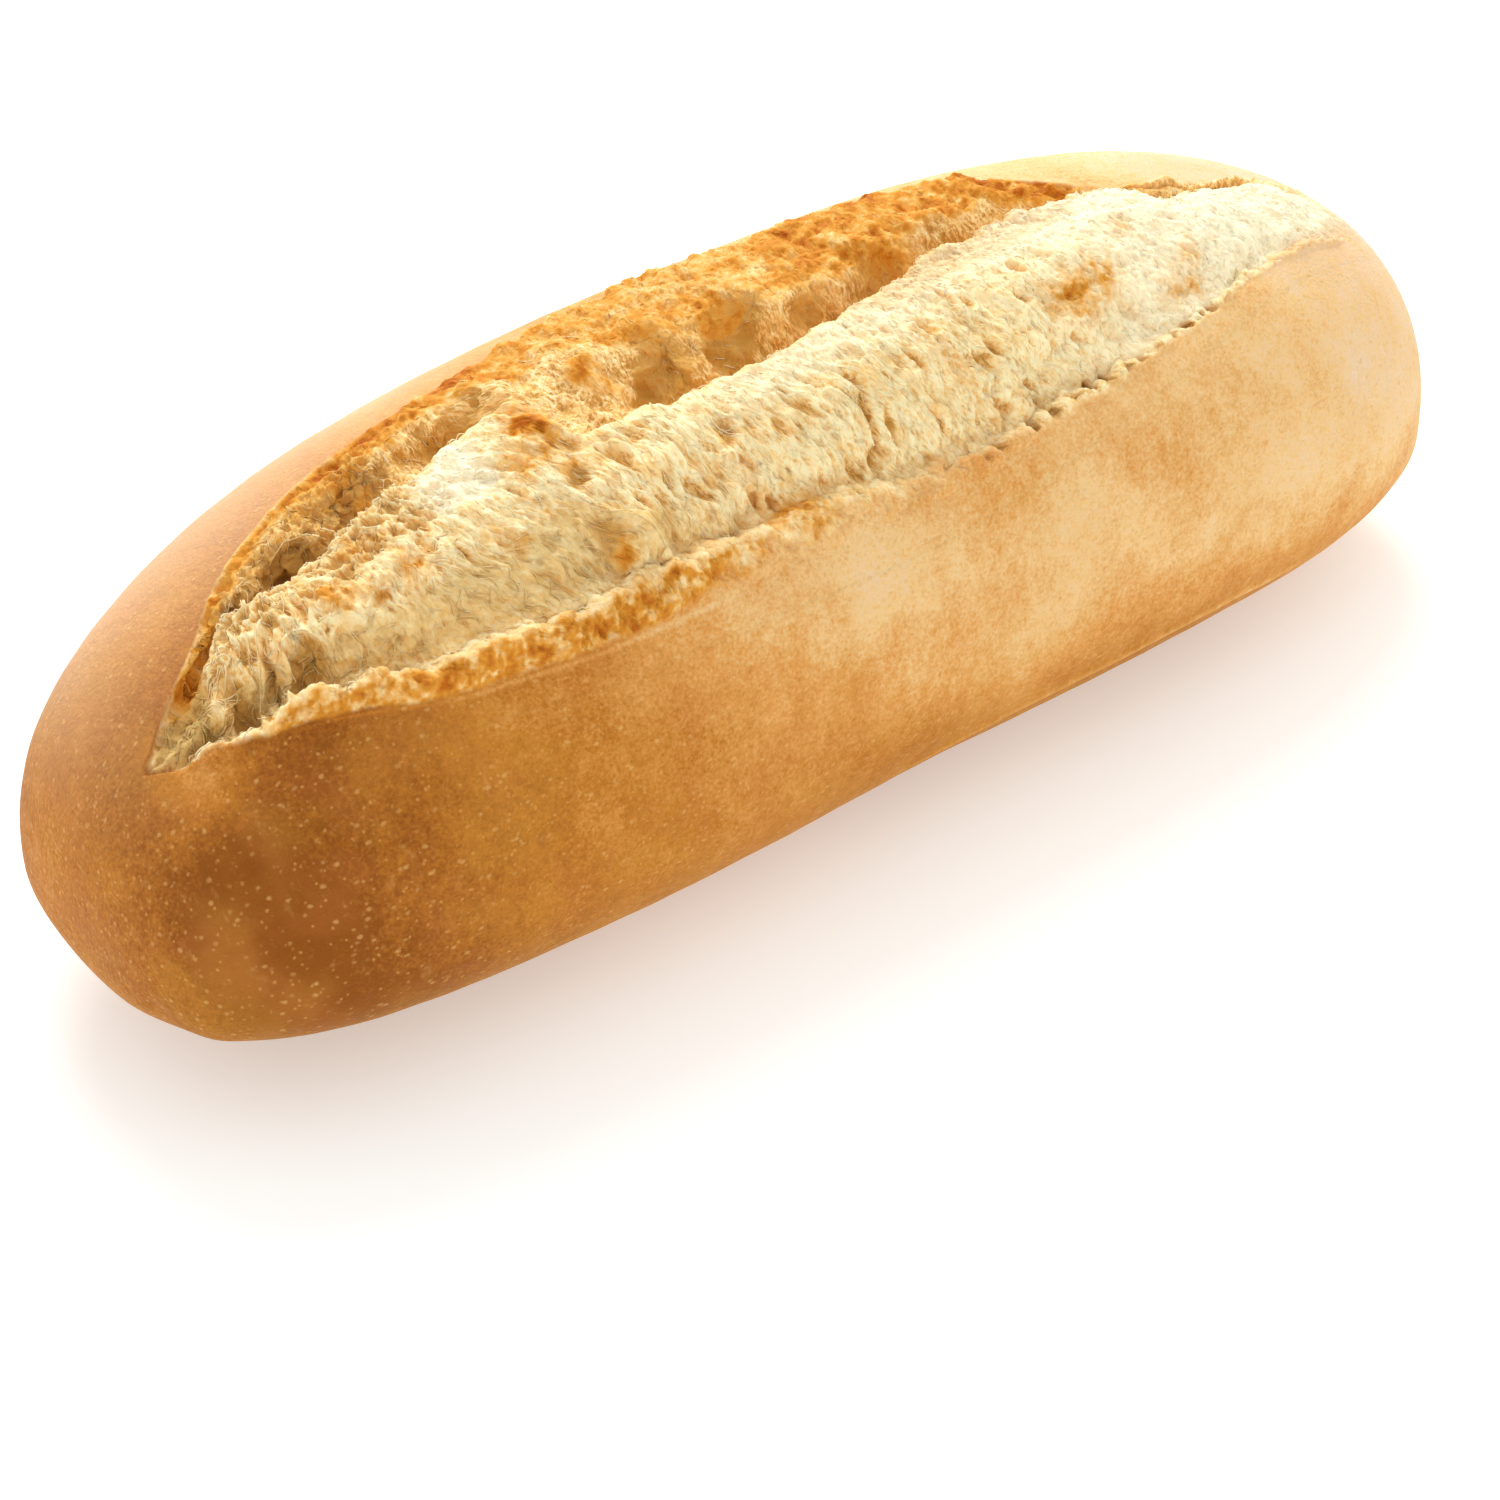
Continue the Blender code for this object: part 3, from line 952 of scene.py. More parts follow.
@dataclass(frozen=True)
class CrumbTinting:
    """The shader group for torn crumb: cream threads, painted shade that makes the pores and hollows darker
    and golden, a partly painted highlight on the lit top, toasted tips and a fibrous grain.
    """

    thread: Colour = paint(255, 238, 190)
    straw: Colour = paint(252, 226, 170)
    pit: Colour = paint(242, 199, 128)
    deep: Colour = paint(205, 151, 74)
    gold: Colour = paint(249, 205, 130)
    olive: Colour = paint(226, 187, 114)
    umber: Colour = paint(188, 150, 86)
    # whiter crumb, and partly a painted highlight
    white: Colour = paint(255, 246, 218)
    shadow: Colour = paint(198, 146, 64)
    slit: Colour = paint(146, 104, 54)
    toast_faint: Colour = paint(247, 208, 150)
    toast_light: Colour = paint(236, 176, 82)
    toast_mid: Colour = paint(216, 143, 46)
    toast_dark: Colour = paint(186, 101, 20)
    fibre: Layer = Layer(0.42, 3.0, 0.7, 2.0)
    grit: Layer = Layer(0.3, 2.0, 0.6)
    fluff: Layer = Layer(1.1, 4.0, 0.65)
    cloud: Layer = Layer(2.0, 3.0, 0.6)
    cell_size: float = 0.75
    pale_cover: float = 0.7
    slit_cover: float = 0.8

    def build(self) -> NodeTree:
        """Makes the group.

        Returns:
            A group that takes Place and the crumb's marks and gives Colour, Roughness and Height in mm.
        """
        marks = dict.fromkeys(("Pore", "Toast", "Shade", "Pale", "Crevice"), "Float")
        wiring = new_group("crumb_tinting", Place="Vector", Flow="Vector", **marks)
        given = wiring.node("NodeGroupInput").outputs
        place, flow = given["Place"], given["Flow"]
        fibres, grit = wiring.grain(flow, self.fibre), wiring.grain(flow, self.grit)
        fluff, cloud = wiring.grain(place, self.fluff), wiring.grain(flow, self.cloud)
        cells = wiring.cells(flow, self.cell_size)
        picked = wiring.graded(cells.outputs["Color"], 0.35, 0.7)
        holes = wiring.times(wiring.graded(cells.outputs["Distance"], 0.15, 0.45, 1.0, 0.0), picked)
        depth = wiring.plus(given["Pore"], wiring.graded(fibres, 0.4, 0.6, 0.3, -0.3))
        depth = wiring.plus(depth, wiring.graded(grit, 0.4, 0.6, 0.2, -0.2))
        depth = wiring.plus(depth, wiring.times(holes, 0.3))
        # painted shade: the deeper into a pore, a hole or the grooves between fibres, the darker and more
        # golden the crumb
        stops = ((0.0, self.thread), (0.25, self.straw), (0.6, self.pit), (0.95, self.deep))
        colour = wiring.ramp(depth, stops)
        colour = wiring.blend(wiring.graded(cloud, 0.45, 0.7, 0.0, 0.55), colour, self.gold)
        # painted shade: olive, and umber where deeper, on the lower face, the floors of the webs and the
        # pocket at the tip
        shade = wiring.plus(given["Shade"], wiring.graded(fluff, 0.3, 0.7, -0.2, 0.2, Grading.EVEN))
        colour = wiring.blend(wiring.graded(shade, 0.1, 1.0, 0.0, 0.85), colour, self.olive)
        colour = wiring.blend(wiring.graded(shade, 1.0, 2.0), colour, self.umber)
        # partly painted highlight: the lit top of the bloom and the far end are whitened, partly for the
        # whiter stretched crumb there
        colour = wiring.blend(wiring.times(given["Pale"], self.pale_cover), colour, self.white)
        # painted shade in broad hollows, along the groove and in single hollows, slits and slopes
        crevice = wiring.times(given["Crevice"], wiring.graded(fluff, 0.35, 0.6, 0.55, 1.0))
        colour = wiring.blend(crevice, colour, self.shadow)
        # painted shadow, darkest brown in the slits and the deepest hollows
        slit = wiring.graded(given["Crevice"], 0.9, 1.0, 0.0, self.slit_cover)
        colour = wiring.blend(slit, colour, self.slit)
        toast = wiring.plus(given["Toast"], wiring.graded(fluff, 0.3, 0.7, -0.16, 0.16, Grading.EVEN))
        crisp = wiring.ramp(toast, ((0.0, self.toast_faint), (0.4, self.toast_light), (0.7, self.toast_mid),
                                    (1.0, self.toast_dark)))
        colour = wiring.blend(wiring.graded(toast, 0.06, 0.6, grading=Grading.EVEN), colour, crisp)
        combed = wiring.times(fibres, wiring.graded(given["Pale"], 0.0, 1.0, 0.24, 0.1, Grading.EVEN))
        height = wiring.plus(combed, wiring.times(fluff, 0.25))
        height = wiring.plus(height, wiring.times(grit, 0.12))
        height = wiring.arithmetic("SUBTRACT", height, wiring.times(holes, 0.16))
        roughness = wiring.graded(toast, 0.1, 0.8, 0.85, 0.6, Grading.EVEN)
        wiring.give(Colour=colour, Roughness=roughness, Height=height)
        return wiring.tree


# -------- finishes


def placed(wiring: Wiring, group: NodeTree, **given: object) -> Node:
    """Sets a group into a material and feeds it.

    Args:
        wiring: the material's wiring.
        group: the group to place.
        **given: what each named input gets.

    Returns:
        The group's node.
    """
    made = wiring.node("ShaderNodeGroup", node_tree=group)
    for name, value in given.items():
        wiring.feed(made.inputs[name], value)
    return made


def new_finish(name: str) -> tuple[Material, Wiring, Node]:
    """Starts a material.

    Args:
        name: the material's name.

    Returns:
        The material, its wiring and its shader.
    """
    material = bpy.data.materials.new(name)
    material.use_nodes = True
    return material, Wiring(material.node_tree), material.node_tree.nodes["Principled BSDF"]


@dataclass(frozen=True)
class Skin:
    """How bread takes light, the same for crust and crumb so that they meet without a seam."""

    specular: float = 0.1
    glow: float = 0.2
    glow_reach: float = 1.2  # in millimetres
    glow_tint: tuple[float, float, float] = (1.0, 0.6, 0.3)

    def dress(self, shader: Node) -> None:
        """Sets the shader's constant values."""
        shader.inputs["Specular IOR Level"].default_value = self.specular
        shader.inputs["Subsurface Weight"].default_value = self.glow
        shader.inputs["Subsurface Radius"].default_value = self.glow_tint
        shader.inputs["Subsurface Scale"].default_value = self.glow_reach * MM


@dataclass(frozen=True)
class CrustFinish:
    """Baked crust, browned by the piece's own bake attribute."""

    browning: NodeTree
    name: str = "baked_crust"
    skin: Skin = Skin()

    def build(self) -> Material:
        """Makes the material."""
        material, wiring, shader = new_finish(self.name)
        place = wiring.node("ShaderNodeTexCoord").outputs["Object"]
        bake, blush = wiring.mark("bake"), wiring.mark("blush")
        crust = placed(wiring, self.browning, Place=place, Bake=bake, Blush=blush).outputs
        wiring.feed(shader.inputs["Base Color"], crust["Colour"])
        wiring.feed(shader.inputs["Roughness"], crust["Roughness"])
        wiring.feed(shader.inputs["Normal"], wiring.bumped(crust["Height"]))
        self.skin.dress(shader)
        return material


@dataclass(frozen=True)
class CrumbFinish:
    """Torn crumb, with crust where the piece's torn attribute fades out."""

    browning: NodeTree
    tinting: NodeTree
    name: str = "torn_crumb"
    skin: Skin = Skin()

    def build(self) -> Material:
        """Makes the material."""
        material, wiring, shader = new_finish(self.name)
        place = wiring.node("ShaderNodeTexCoord").outputs["Object"]
        names = ("bake", "blush", "pore", "toast", "shade", "pale", "crevice", "torn")
        marks = {name.capitalize(): wiring.mark(name) for name in names}
        torn, bake, blush = (marks.pop(name) for name in ("Torn", "Bake", "Blush"))
        crust = placed(wiring, self.browning, Place=place, Bake=bake, Blush=blush).outputs
        flow = wiring.mark("flow", "Vector")
        crumb = placed(wiring, self.tinting, Place=place, Flow=flow, **marks).outputs
        mixed = {}
        for name in ("Roughness", "Height"):
            mix = wiring.node("ShaderNodeMix", data_type="FLOAT")
            for label, value in (("Factor", torn), ("A", crust[name]), ("B", crumb[name])):
                wiring.feed(mix.inputs[label], value)
            mixed[name] = mix.outputs["Result"]
        wiring.feed(shader.inputs["Roughness"], mixed["Roughness"])
        wiring.feed(shader.inputs["Base Color"], wiring.blend(torn, crust["Colour"], crumb["Colour"]))
        wiring.feed(shader.inputs["Normal"], wiring.bumped(mixed["Height"]))
        self.skin.dress(shader)
        return material


# -------- pieces


def finished_piece(name: str, shape: bmesh.types.BMesh, points: FloatArray, marks: Marks,
                   material: Material) -> Object:
    """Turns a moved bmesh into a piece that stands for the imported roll.

    Args:
        name: the piece's name.
        shape: its faces; it is freed here.
        points: the place of each vertex in metres.
        marks: numbers or vectors to keep on the vertices, by attribute name.
        material: its finish.

    Returns:
        The new object.
    """
    mesh = bpy.data.meshes.new(name)
    shape.to_mesh(mesh)
    shape.free()
    mesh.vertices.foreach_set("co", points.reshape(-1))
    for label, values in marks.items():
        kind, part = ("FLOAT_VECTOR", "vector") if values.ndim > 1 else ("FLOAT", "value")
        mesh.attributes.new(label, kind, "POINT").data.foreach_set(part, values.reshape(-1))
    mesh.update()
    mesh.shade_smooth()
    mesh.materials.append(material)
    piece = bpy.data.objects.new(name, mesh)
    bpy.context.scene.collection.objects.link(piece)
    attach(piece, BODY)
    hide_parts(ROLL_NODE)
    LOG.info("%s: %d vertices", name, len(mesh.vertices))
    return piece


@dataclass(frozen=True)
class CrustSkin:
    """Fine unevenness of the baked crust, in millimetres."""

    wrinkle: float = 0.09
    wrinkle_size: float = 4.5
    crease: Crease = Crease()
    crease_width: float = 0.7
    crease_lift: float = 0.35
    bumps: tuple[Knob, ...] = knobs(
        (-92, -18, 11, 2.6, 0.9), (-93.8, -13.2, 15, 1.7, -1.5), (-92.5, -10, 20, 2.4, 0.3),
    )

    def lift(self, places: FloatArray) -> FloatArray:
        """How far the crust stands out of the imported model's form.

        Args:
            places: points on the plain loaf, with the three axes last.

        Returns:
            The lift at each point. It is nothing at the flat base.
        """
        lift = self.wrinkle * lattice_noise(places / self.wrinkle_size, Seed.WRINKLES)
        over = self.crease.over(places)
        lift += self.crease_lift * hill(over, self.crease_width) * self.crease.run(places)
        lift += sum(bump.shape(places) for bump in self.bumps)
        return lift * smoothstep(places[..., 2] / BASE_BAND)


@dataclass
class CrustShell:
    """The whole loaf's crust. Under the slash it sinks out of sight below the crumb."""

    loaf: Loaf
    slash: Slash
    baking: Baking
    skin: CrustSkin
    material: Material
    rings: int = 260
    around: int = 340
    outline_steps: int = 2001
    margin: float = 1.3
    margin_fade: float = 1.2
    near_reach: float = 0.8
    far_reach: float = 1.5
    under_crumb: float = 5.0

    def ring_places(self) -> FloatArray:
        """Places of the rings, evenly spaced round the outline in plan, from tip to tip."""
        turn = np.linspace(-np.pi / 2, np.pi / 2, self.outline_steps)
        along = self.loaf.length / 2 * np.sin(turn)
        half_width = self.loaf.section(along).half_width
        run = np.concatenate([[0], np.cumsum(np.hypot(np.diff(along), np.diff(half_width)))])
        return np.interp(np.linspace(0, run[-1], self.rings + 1), run, along)

    def sinking(self, along: FloatArray, across: FloatArray) -> FloatArray:
        """How far the shell drops to stay under the crumb.

        Args:
            along: places along the roll.
            across: places across it.

        Returns:
            The drop at each place, 0 outside the slash.
        """
        near, far = self.slash.edges(along)
        inside = between(across, near - self.margin, far + self.margin, self.margin_fade)
        first, last = self.slash.start - self.near_reach, self.slash.end + self.far_reach
        inside = inside * between(along, first, last, self.margin_fade)
        lines, heights = self.slash.profile(along)
        floor = np.minimum(monotone_curve(lines, heights, across), 0.0)
        floor = floor + np.minimum(total(self.slash.crags, along, across), 0.0)
        return inside * (self.under_crumb - floor)

    def build(self) -> Object:
        """Makes the shell."""
        shape = bmesh.new()
        bmesh.ops.create_uvsphere(shape, u_segments=self.around, v_segments=self.rings, radius=1.0)
        directions = np.array([vert.co for vert in shape.verts])
        ring = np.rint(np.arccos(np.clip(-directions[:, 2], -1, 1)) / np.pi * self.rings).astype(int)
        along = self.ring_places()[ring]
        angle = np.arctan2(directions[:, 1], directions[:, 0])
        across, height = self.loaf.at_angle(along, angle)
        places = np.stack([along, across, height], axis=-1)
        lift = self.loaf.waviness(places) + self.skin.lift(places)
        lift -= np.where(np.sin(angle) > 0, self.sinking(along, across), 0.0)
        points = places + lift[:, None] * self.loaf.outward(along, across, height)
        points[:, 2] = np.maximum(points[:, 2], 0.0)
        bmesh.ops.recalc_face_normals(shape, faces=shape.faces)
        marks = {"bake": self.baking.level(places), "blush": self.baking.blush(places)}
        return finished_piece("crust_shell", shape, packed(points), marks, self.material)


class Strand(NamedTuple):
    """A thread of crumb pulled out as the slash burst, or with a minus sign a narrow crack."""

    path: tuple[tuple[float, float], ...]
    half_width: float
    height: float

    def shape(self, along: FloatArray, across: FloatArray) -> FloatArray:
        """The thread's height at each place."""
        nearest = np.full(np.broadcast(along, across).shape, np.inf)
        for (x, y), (end_x, end_y) in zip(self.path, self.path[1:]):
            run_x, run_y = end_x - x, end_y - y
            share = ((along - x) * run_x + (across - y) * run_y) / (run_x**2 + run_y**2)
            share = np.clip(share, 0.0, 1.0)
            nearest = np.minimum(nearest, np.hypot(along - x - share * run_x, across - y - share * run_y))
        return self.height * hill(nearest, self.half_width)


@dataclass(frozen=True)
class CrumbTexture:
    """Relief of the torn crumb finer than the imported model's, in millimetres."""

    # bubbles' length to width
    stretch: Knots = ((-90, 1.6), (-50, 2.0), (-30, 2.3), (0, 2.2), (25, 1.5), (90, 1.2))
    middle: tuple[float, float, float] = (0.0, -6.0, 48.0)
    lean: Knots = ((-90, 0.0), (-66, 0.05), (-47, 0.5), (-30, 0.25), (0, 0.3), (45, 0.35), (90, 0.3))
    bend: float = 0.9
    bend_size: float = 6.0
    curl: float = 0.2
    curl_size: float = 1.7
    bubble_size: float = 1.9
    bubble_depth: float = 0.95
    open_share: float = 0.42
    open_fade: float = 0.16
    closed_depth: float = 0.08  # of a bubble that isn't open, as a share of an open one's
    thread_height: float = 0.22
    thread_width: float = 0.12
    pore_size: float = 0.95
    pore_depth: float = 0.4
    prick_size: float = 0.5
    prick_depth: float = 0.26
    web_sizes: tuple[float, float] = (2.1, 1.0)
    web_depths: tuple[float, float] = (0.95, 0.4)
    fibre_size: float = 0.55
    fibre_stretch: float = 4.5
    fibre_depth: float = 0.14
    lump_size: float = 2.8
    lump_height: float = 0.6
    granule_size: float = 0.75
    granule_height: float = 0.52

    def bubbles(self, places: FloatArray) -> Pair:
        """The large bubbles, some open and most nearly closed.

        Args:
            places: places drawn out along the threads.

        Returns:
            The depth of the bubbles, and how much of a thread runs between them.
        """
        cells = foam(places / self.bubble_size, Seed.BUBBLES)
        opened = smoothstep((self.open_share - cells.chance) / self.open_fade)
        opened = self.closed_depth + (1 - self.closed_depth) * opened
        bowl = smoothstep(cells.wall / 0.55) * smoothstep((0.85 - cells.nearest) / 0.5)
        return self.bubble_depth * opened * bowl, hill(cells.wall, self.thread_width)

    def pores(self, places: FloatArray) -> FloatArray:
        """Depth of the middling pores, each of its own depth."""
        cells = foam(places / self.pore_size, Seed.PORES)
        return self.pore_depth * cells.chance**1.5 * smoothstep(cells.wall / 0.7)

    def pricks(self, places: FloatArray) -> FloatArray:
        """Depth of the smallest pores."""
        cells = foam(places / self.prick_size, Seed.PRICKS)
        return self.prick_depth * cells.chance * smoothstep(cells.wall / 0.7)

    def webs(self, places: FloatArray) -> FloatArray:
        """Depth of the meshes between the tangled threads at the near end."""
        depth = 0.0 * places[..., 0]
        for size, most in zip(self.web_sizes, self.web_depths):
            cells = foam(places / size, Seed.WEBS)
            depth += most * (0.3 + 0.7 * cells.chance) * smoothstep((cells.wall - 0.05) / 0.26)
        return depth

    def fibres(self, places: FloatArray) -> FloatArray:
        """Depth between the fine threads that run across the slash."""
        scale = np.array([1.0, 1 / self.fibre_stretch, 1 / self.fibre_stretch]) / self.fibre_size
        ridged = np.abs(lattice_noise(places * scale, Seed.FIBRES))
        return self.fibre_depth * smoothstep(ridged / 0.5)

    def lumps(self, places: FloatArray) -> FloatArray:
        """Height of the soft clumps on the torn wall."""
        clumps = sum(
            lattice_noise(places * step / self.lump_size, Seed.LUMPS + step) / step for step in (1, 2, 4)
        )
        return self.lump_height * clumps

    def granules(self, places: FloatArray) -> FloatArray:
        """Height of the small grains on the lip and the fluffy brink."""
        cells = foam(places / self.granule_size, Seed.GRANULES)
        return self.granule_height * (0.5 - cells.nearest) * (0.5 + cells.chance)

    def warped(self, places: FloatArray, brink: FloatArray) -> Pair:
        """Patterns' coordinates, which curve softly and lean over up to the brink.

        Args:
            places: points on the sheet.
            brink: how far across the brink lies; beyond it patterns are neither drawn out nor leant over.

        Returns:
            The coordinates for round patterns, and those for patterns that are drawn out along the threads.
        """
        moved = places.copy()
        bends = (self.bend, self.bend_size, Seed.BEND), (self.curl, self.curl_size, Seed.CURL)
        for reach, size, seed in bends:
            shift = [lattice_noise(places / size, seed + axis) for axis in range(3)]
            moved += reach * np.stack(shift, axis=-1)
        beyond = np.maximum(places[..., 1] - brink, 0.0)
        upwards = moved[..., 1] - beyond + moved[..., 2] - SLASH_MIDDLE
        moved[..., 0] += curve(self.lean, places[..., 0]) * upwards
        squeeze = 1 / curve(self.stretch, places[..., 0])
        long = moved - self.middle
        long[..., 1] = long[..., 1] * squeeze + (1 - squeeze) * beyond
        long[..., 2] *= squeeze
        return moved, long


class Zones(NamedTuple):
    """Which part of the slash each place belongs to, each as a share from 0 to 1."""

    brink: FloatArray  # not a share, but how far across the brink lies
    lip: FloatArray
    low_face: FloatArray
    face: FloatArray
    fluff: FloatArray
    fringe_near: FloatArray
    fringe: FloatArray
    wall: FloatArray
    wall_top: FloatArray
    groove: FloatArray
    web: FloatArray
    patch: FloatArray
    tip: FloatArray
    end: FloatArray
    slope: FloatArray


class Sheet(NamedTuple):
    """The finished surface of the torn crumb, by column along the roll and row across it."""

    along: FloatArray
    across: FloatArray
    points: FloatArray
    normal: FloatArray
    marks: Marks

    def read(self, values: FloatArray, column: FloatArray, row: FloatArray) -> FloatArray:
        """Reads the sheet between its vertices.

        Args:
            values: what to read, by column and row.
            column: places counted in columns.
            row: places counted in rows.

        Returns:
            The values at the places.
        """
        column = np.clip(column, 0, len(self.along) - 1.001)
        row = np.clip(row, 0, self.across.shape[1] - 1.001)
        low, left = np.floor(column).astype(int), np.floor(row).astype(int)
        up, right = column - low, row - left
        if values.ndim > 2:
            up, right = up[..., None], right[..., None]
        first = values[low, left] * (1 - right) + values[low, left + 1] * right
        second = values[low + 1, left] * (1 - right) + values[low + 1, left + 1] * right
        return first * (1 - up) + second * up


@dataclass(frozen=True)
class Toasting:
    """Where the torn crumb is toasted: its lip, its wall, the groove and single spots."""

    lip: Knots = ((-88, 0.1), (-80, 0.3), (-76, 0.62), (-36, 0.7), (-28, 0.5), (-8, 0.4), (8, 0.3),
                  (90, 0.1))
    wall: Knots = ((-90, 0.15), (-60, 0.3), (-48, 0.6), (-34, 0.75), (-29, 0.5), (-20, 0.55),
                   (-12, 0.5), (-2, 0.45), (8, 0.62), (30, 0.72), (43, 0.85), (49, 0.4), (60, 0.1),
                   (90, 0))
    spot_share: float = 0.72
    patch_sizes: tuple[float, ...] = (2.2, 0.9, 5.0, 0.5)  # of clouds, flecks, sweeps and specks
    spots: tuple[Crag, ...] = crags(
        (-60.7, -2.2, 2.5, 2, 0.5), (-65.7, -6.1, 3, 2, 0.7), (-58.4, -7.9, 2, 1.5, 0.6),
        (-62.3, -9, 1.4, 1.4, 0.4), (-59, -10.5, 1.4, 1.4, 0.4), (-72.7, -6.4, 1.5, 1.5, 0.3),
        (-53.3, 6.1, 2.5, 2, 0.6), (-56.3, 9, 2.5, 1.5, 0.3), (-35.3, 1.9, 2.4, 2.8, 0.9),
        (-38.4, -2.2, 2.2, 3.2, 1.3), (-42.2, -5.3, 2.4, 1.8, 0.6), (-42.7, -10.1, 2, 1.5, 0.5),
        (-26.4, 5.5, 2.2, 2, 0.8), (-23.8, 3, 1.6, 1.6, 0.5), (-38.4, -16.6, 1.8, 1.8, 0.7),
        (-37.9, -7.5, 1.8, 1.2, 0.5), (-49.7, -9.8, 3, 1.6, 0.4), (-47, -11.9, 2, 1.4, 0.4),
        (-25.2, -14, 2.2, 1.6, 0.3), (-21.1, -15.5, 2.2, 1.6, 0.3), (-36, -10.8, 2, 1.4, 0.3),
        (-18, -11.7, 2, 1.4, 0.25), (-13.9, -13.7, 2, 1.6, 0.25), (-8.5, 14.1, 3, 2.6, 0.5),
        (9.7, -11.5, 5, 3, 0.25), (8.8, -15.1, 2, 3, 0.3), (3.6, -14, 2, 2, 0.25),
        (15.8, -7.2, 3, 1, 0.3), (27.3, -12, 3.8, 2.4, 0.42), (34.8, -11.6, 2.6, 1.8, 0.48),
        (30.4, -13.4, 4, 2.6, 0.25), (48.4, -11.9, 2.2, 1.8, 0.5), (47.2, -15.1, 2.2, 1.6, 0.55),
        (43.3, -15.5, 3, 2, 0.45), (41.3, -7, 2.2, 2, 0.4), (9.8, -19.6, 5, 1.4, 0.25),
        (42.5, 6.3, 3, 1.8, 0.3), (47.7, 2.9, 1.8, 1.2, 0.4), (56.7, -2.6, 1.2, 0.9, 0.5),
        (68.2, -1.9, 1.2, 0.8, 0.45), (-70, 3, 5, 4, 0.2), (-75.5, -3, 2, 3, 0.25), (-55, -5, 8, 3, 0.2),
        # The spots at 16.4, 7.1 and 4.1, 5.1 on the torn wall are partly painted shade of a shadowed hollow
        # there.
        (31, -12.2, 5.5, 3, 0.3), (-17.9, -20.3, 5.5, 2, 0.8), (16.4, 7.1, 4.5, 3.4, 1.4),
        (4.1, 5.1, 3.4, 2.4, 0.8), (-14.5, 6.5, 3, 2, 0.6), (-25.7, 5.6, 2, 1.6, 0.25),
    )

    def level(self, along: FloatArray, across: FloatArray, places: FloatArray, zones: Zones) -> FloatArray:
        """How far the torn crumb is toasted.

        Args:
            along: places along, one for each column.
            across: places across.
            places: points on the sheet's main form.
            zones: the slash's zones.

        Returns:
            The toasting at each point, from 0 to about 1.
        """
        toast = curve(self.lip, along) * zones.lip * (1 - 0.5 * zones.fringe_near)
        toast = np.maximum(toast, curve(self.wall, along) * zones.wall * zones.wall_top)
        toast = np.maximum(toast, 0.75 * zones.groove)
        toast = np.maximum(toast, self.spot_share * total(self.spots, along, across))
        clouds, flecks, sweeps, specks = (
            lattice_noise(places / size, Seed.TOAST + i) for i, size in enumerate(self.patch_sizes)
        )
        patchy = clouds + 0.7 * flecks + 0.6 * zones.lip * specks + 0.8 * zones.wall * sweeps
        toast = toast * (1 + (0.6 - 0.35 * zones.end) * patchy) + 0.12 * zones.face * patchy
        return np.clip(toast, 0.0, 1.1)


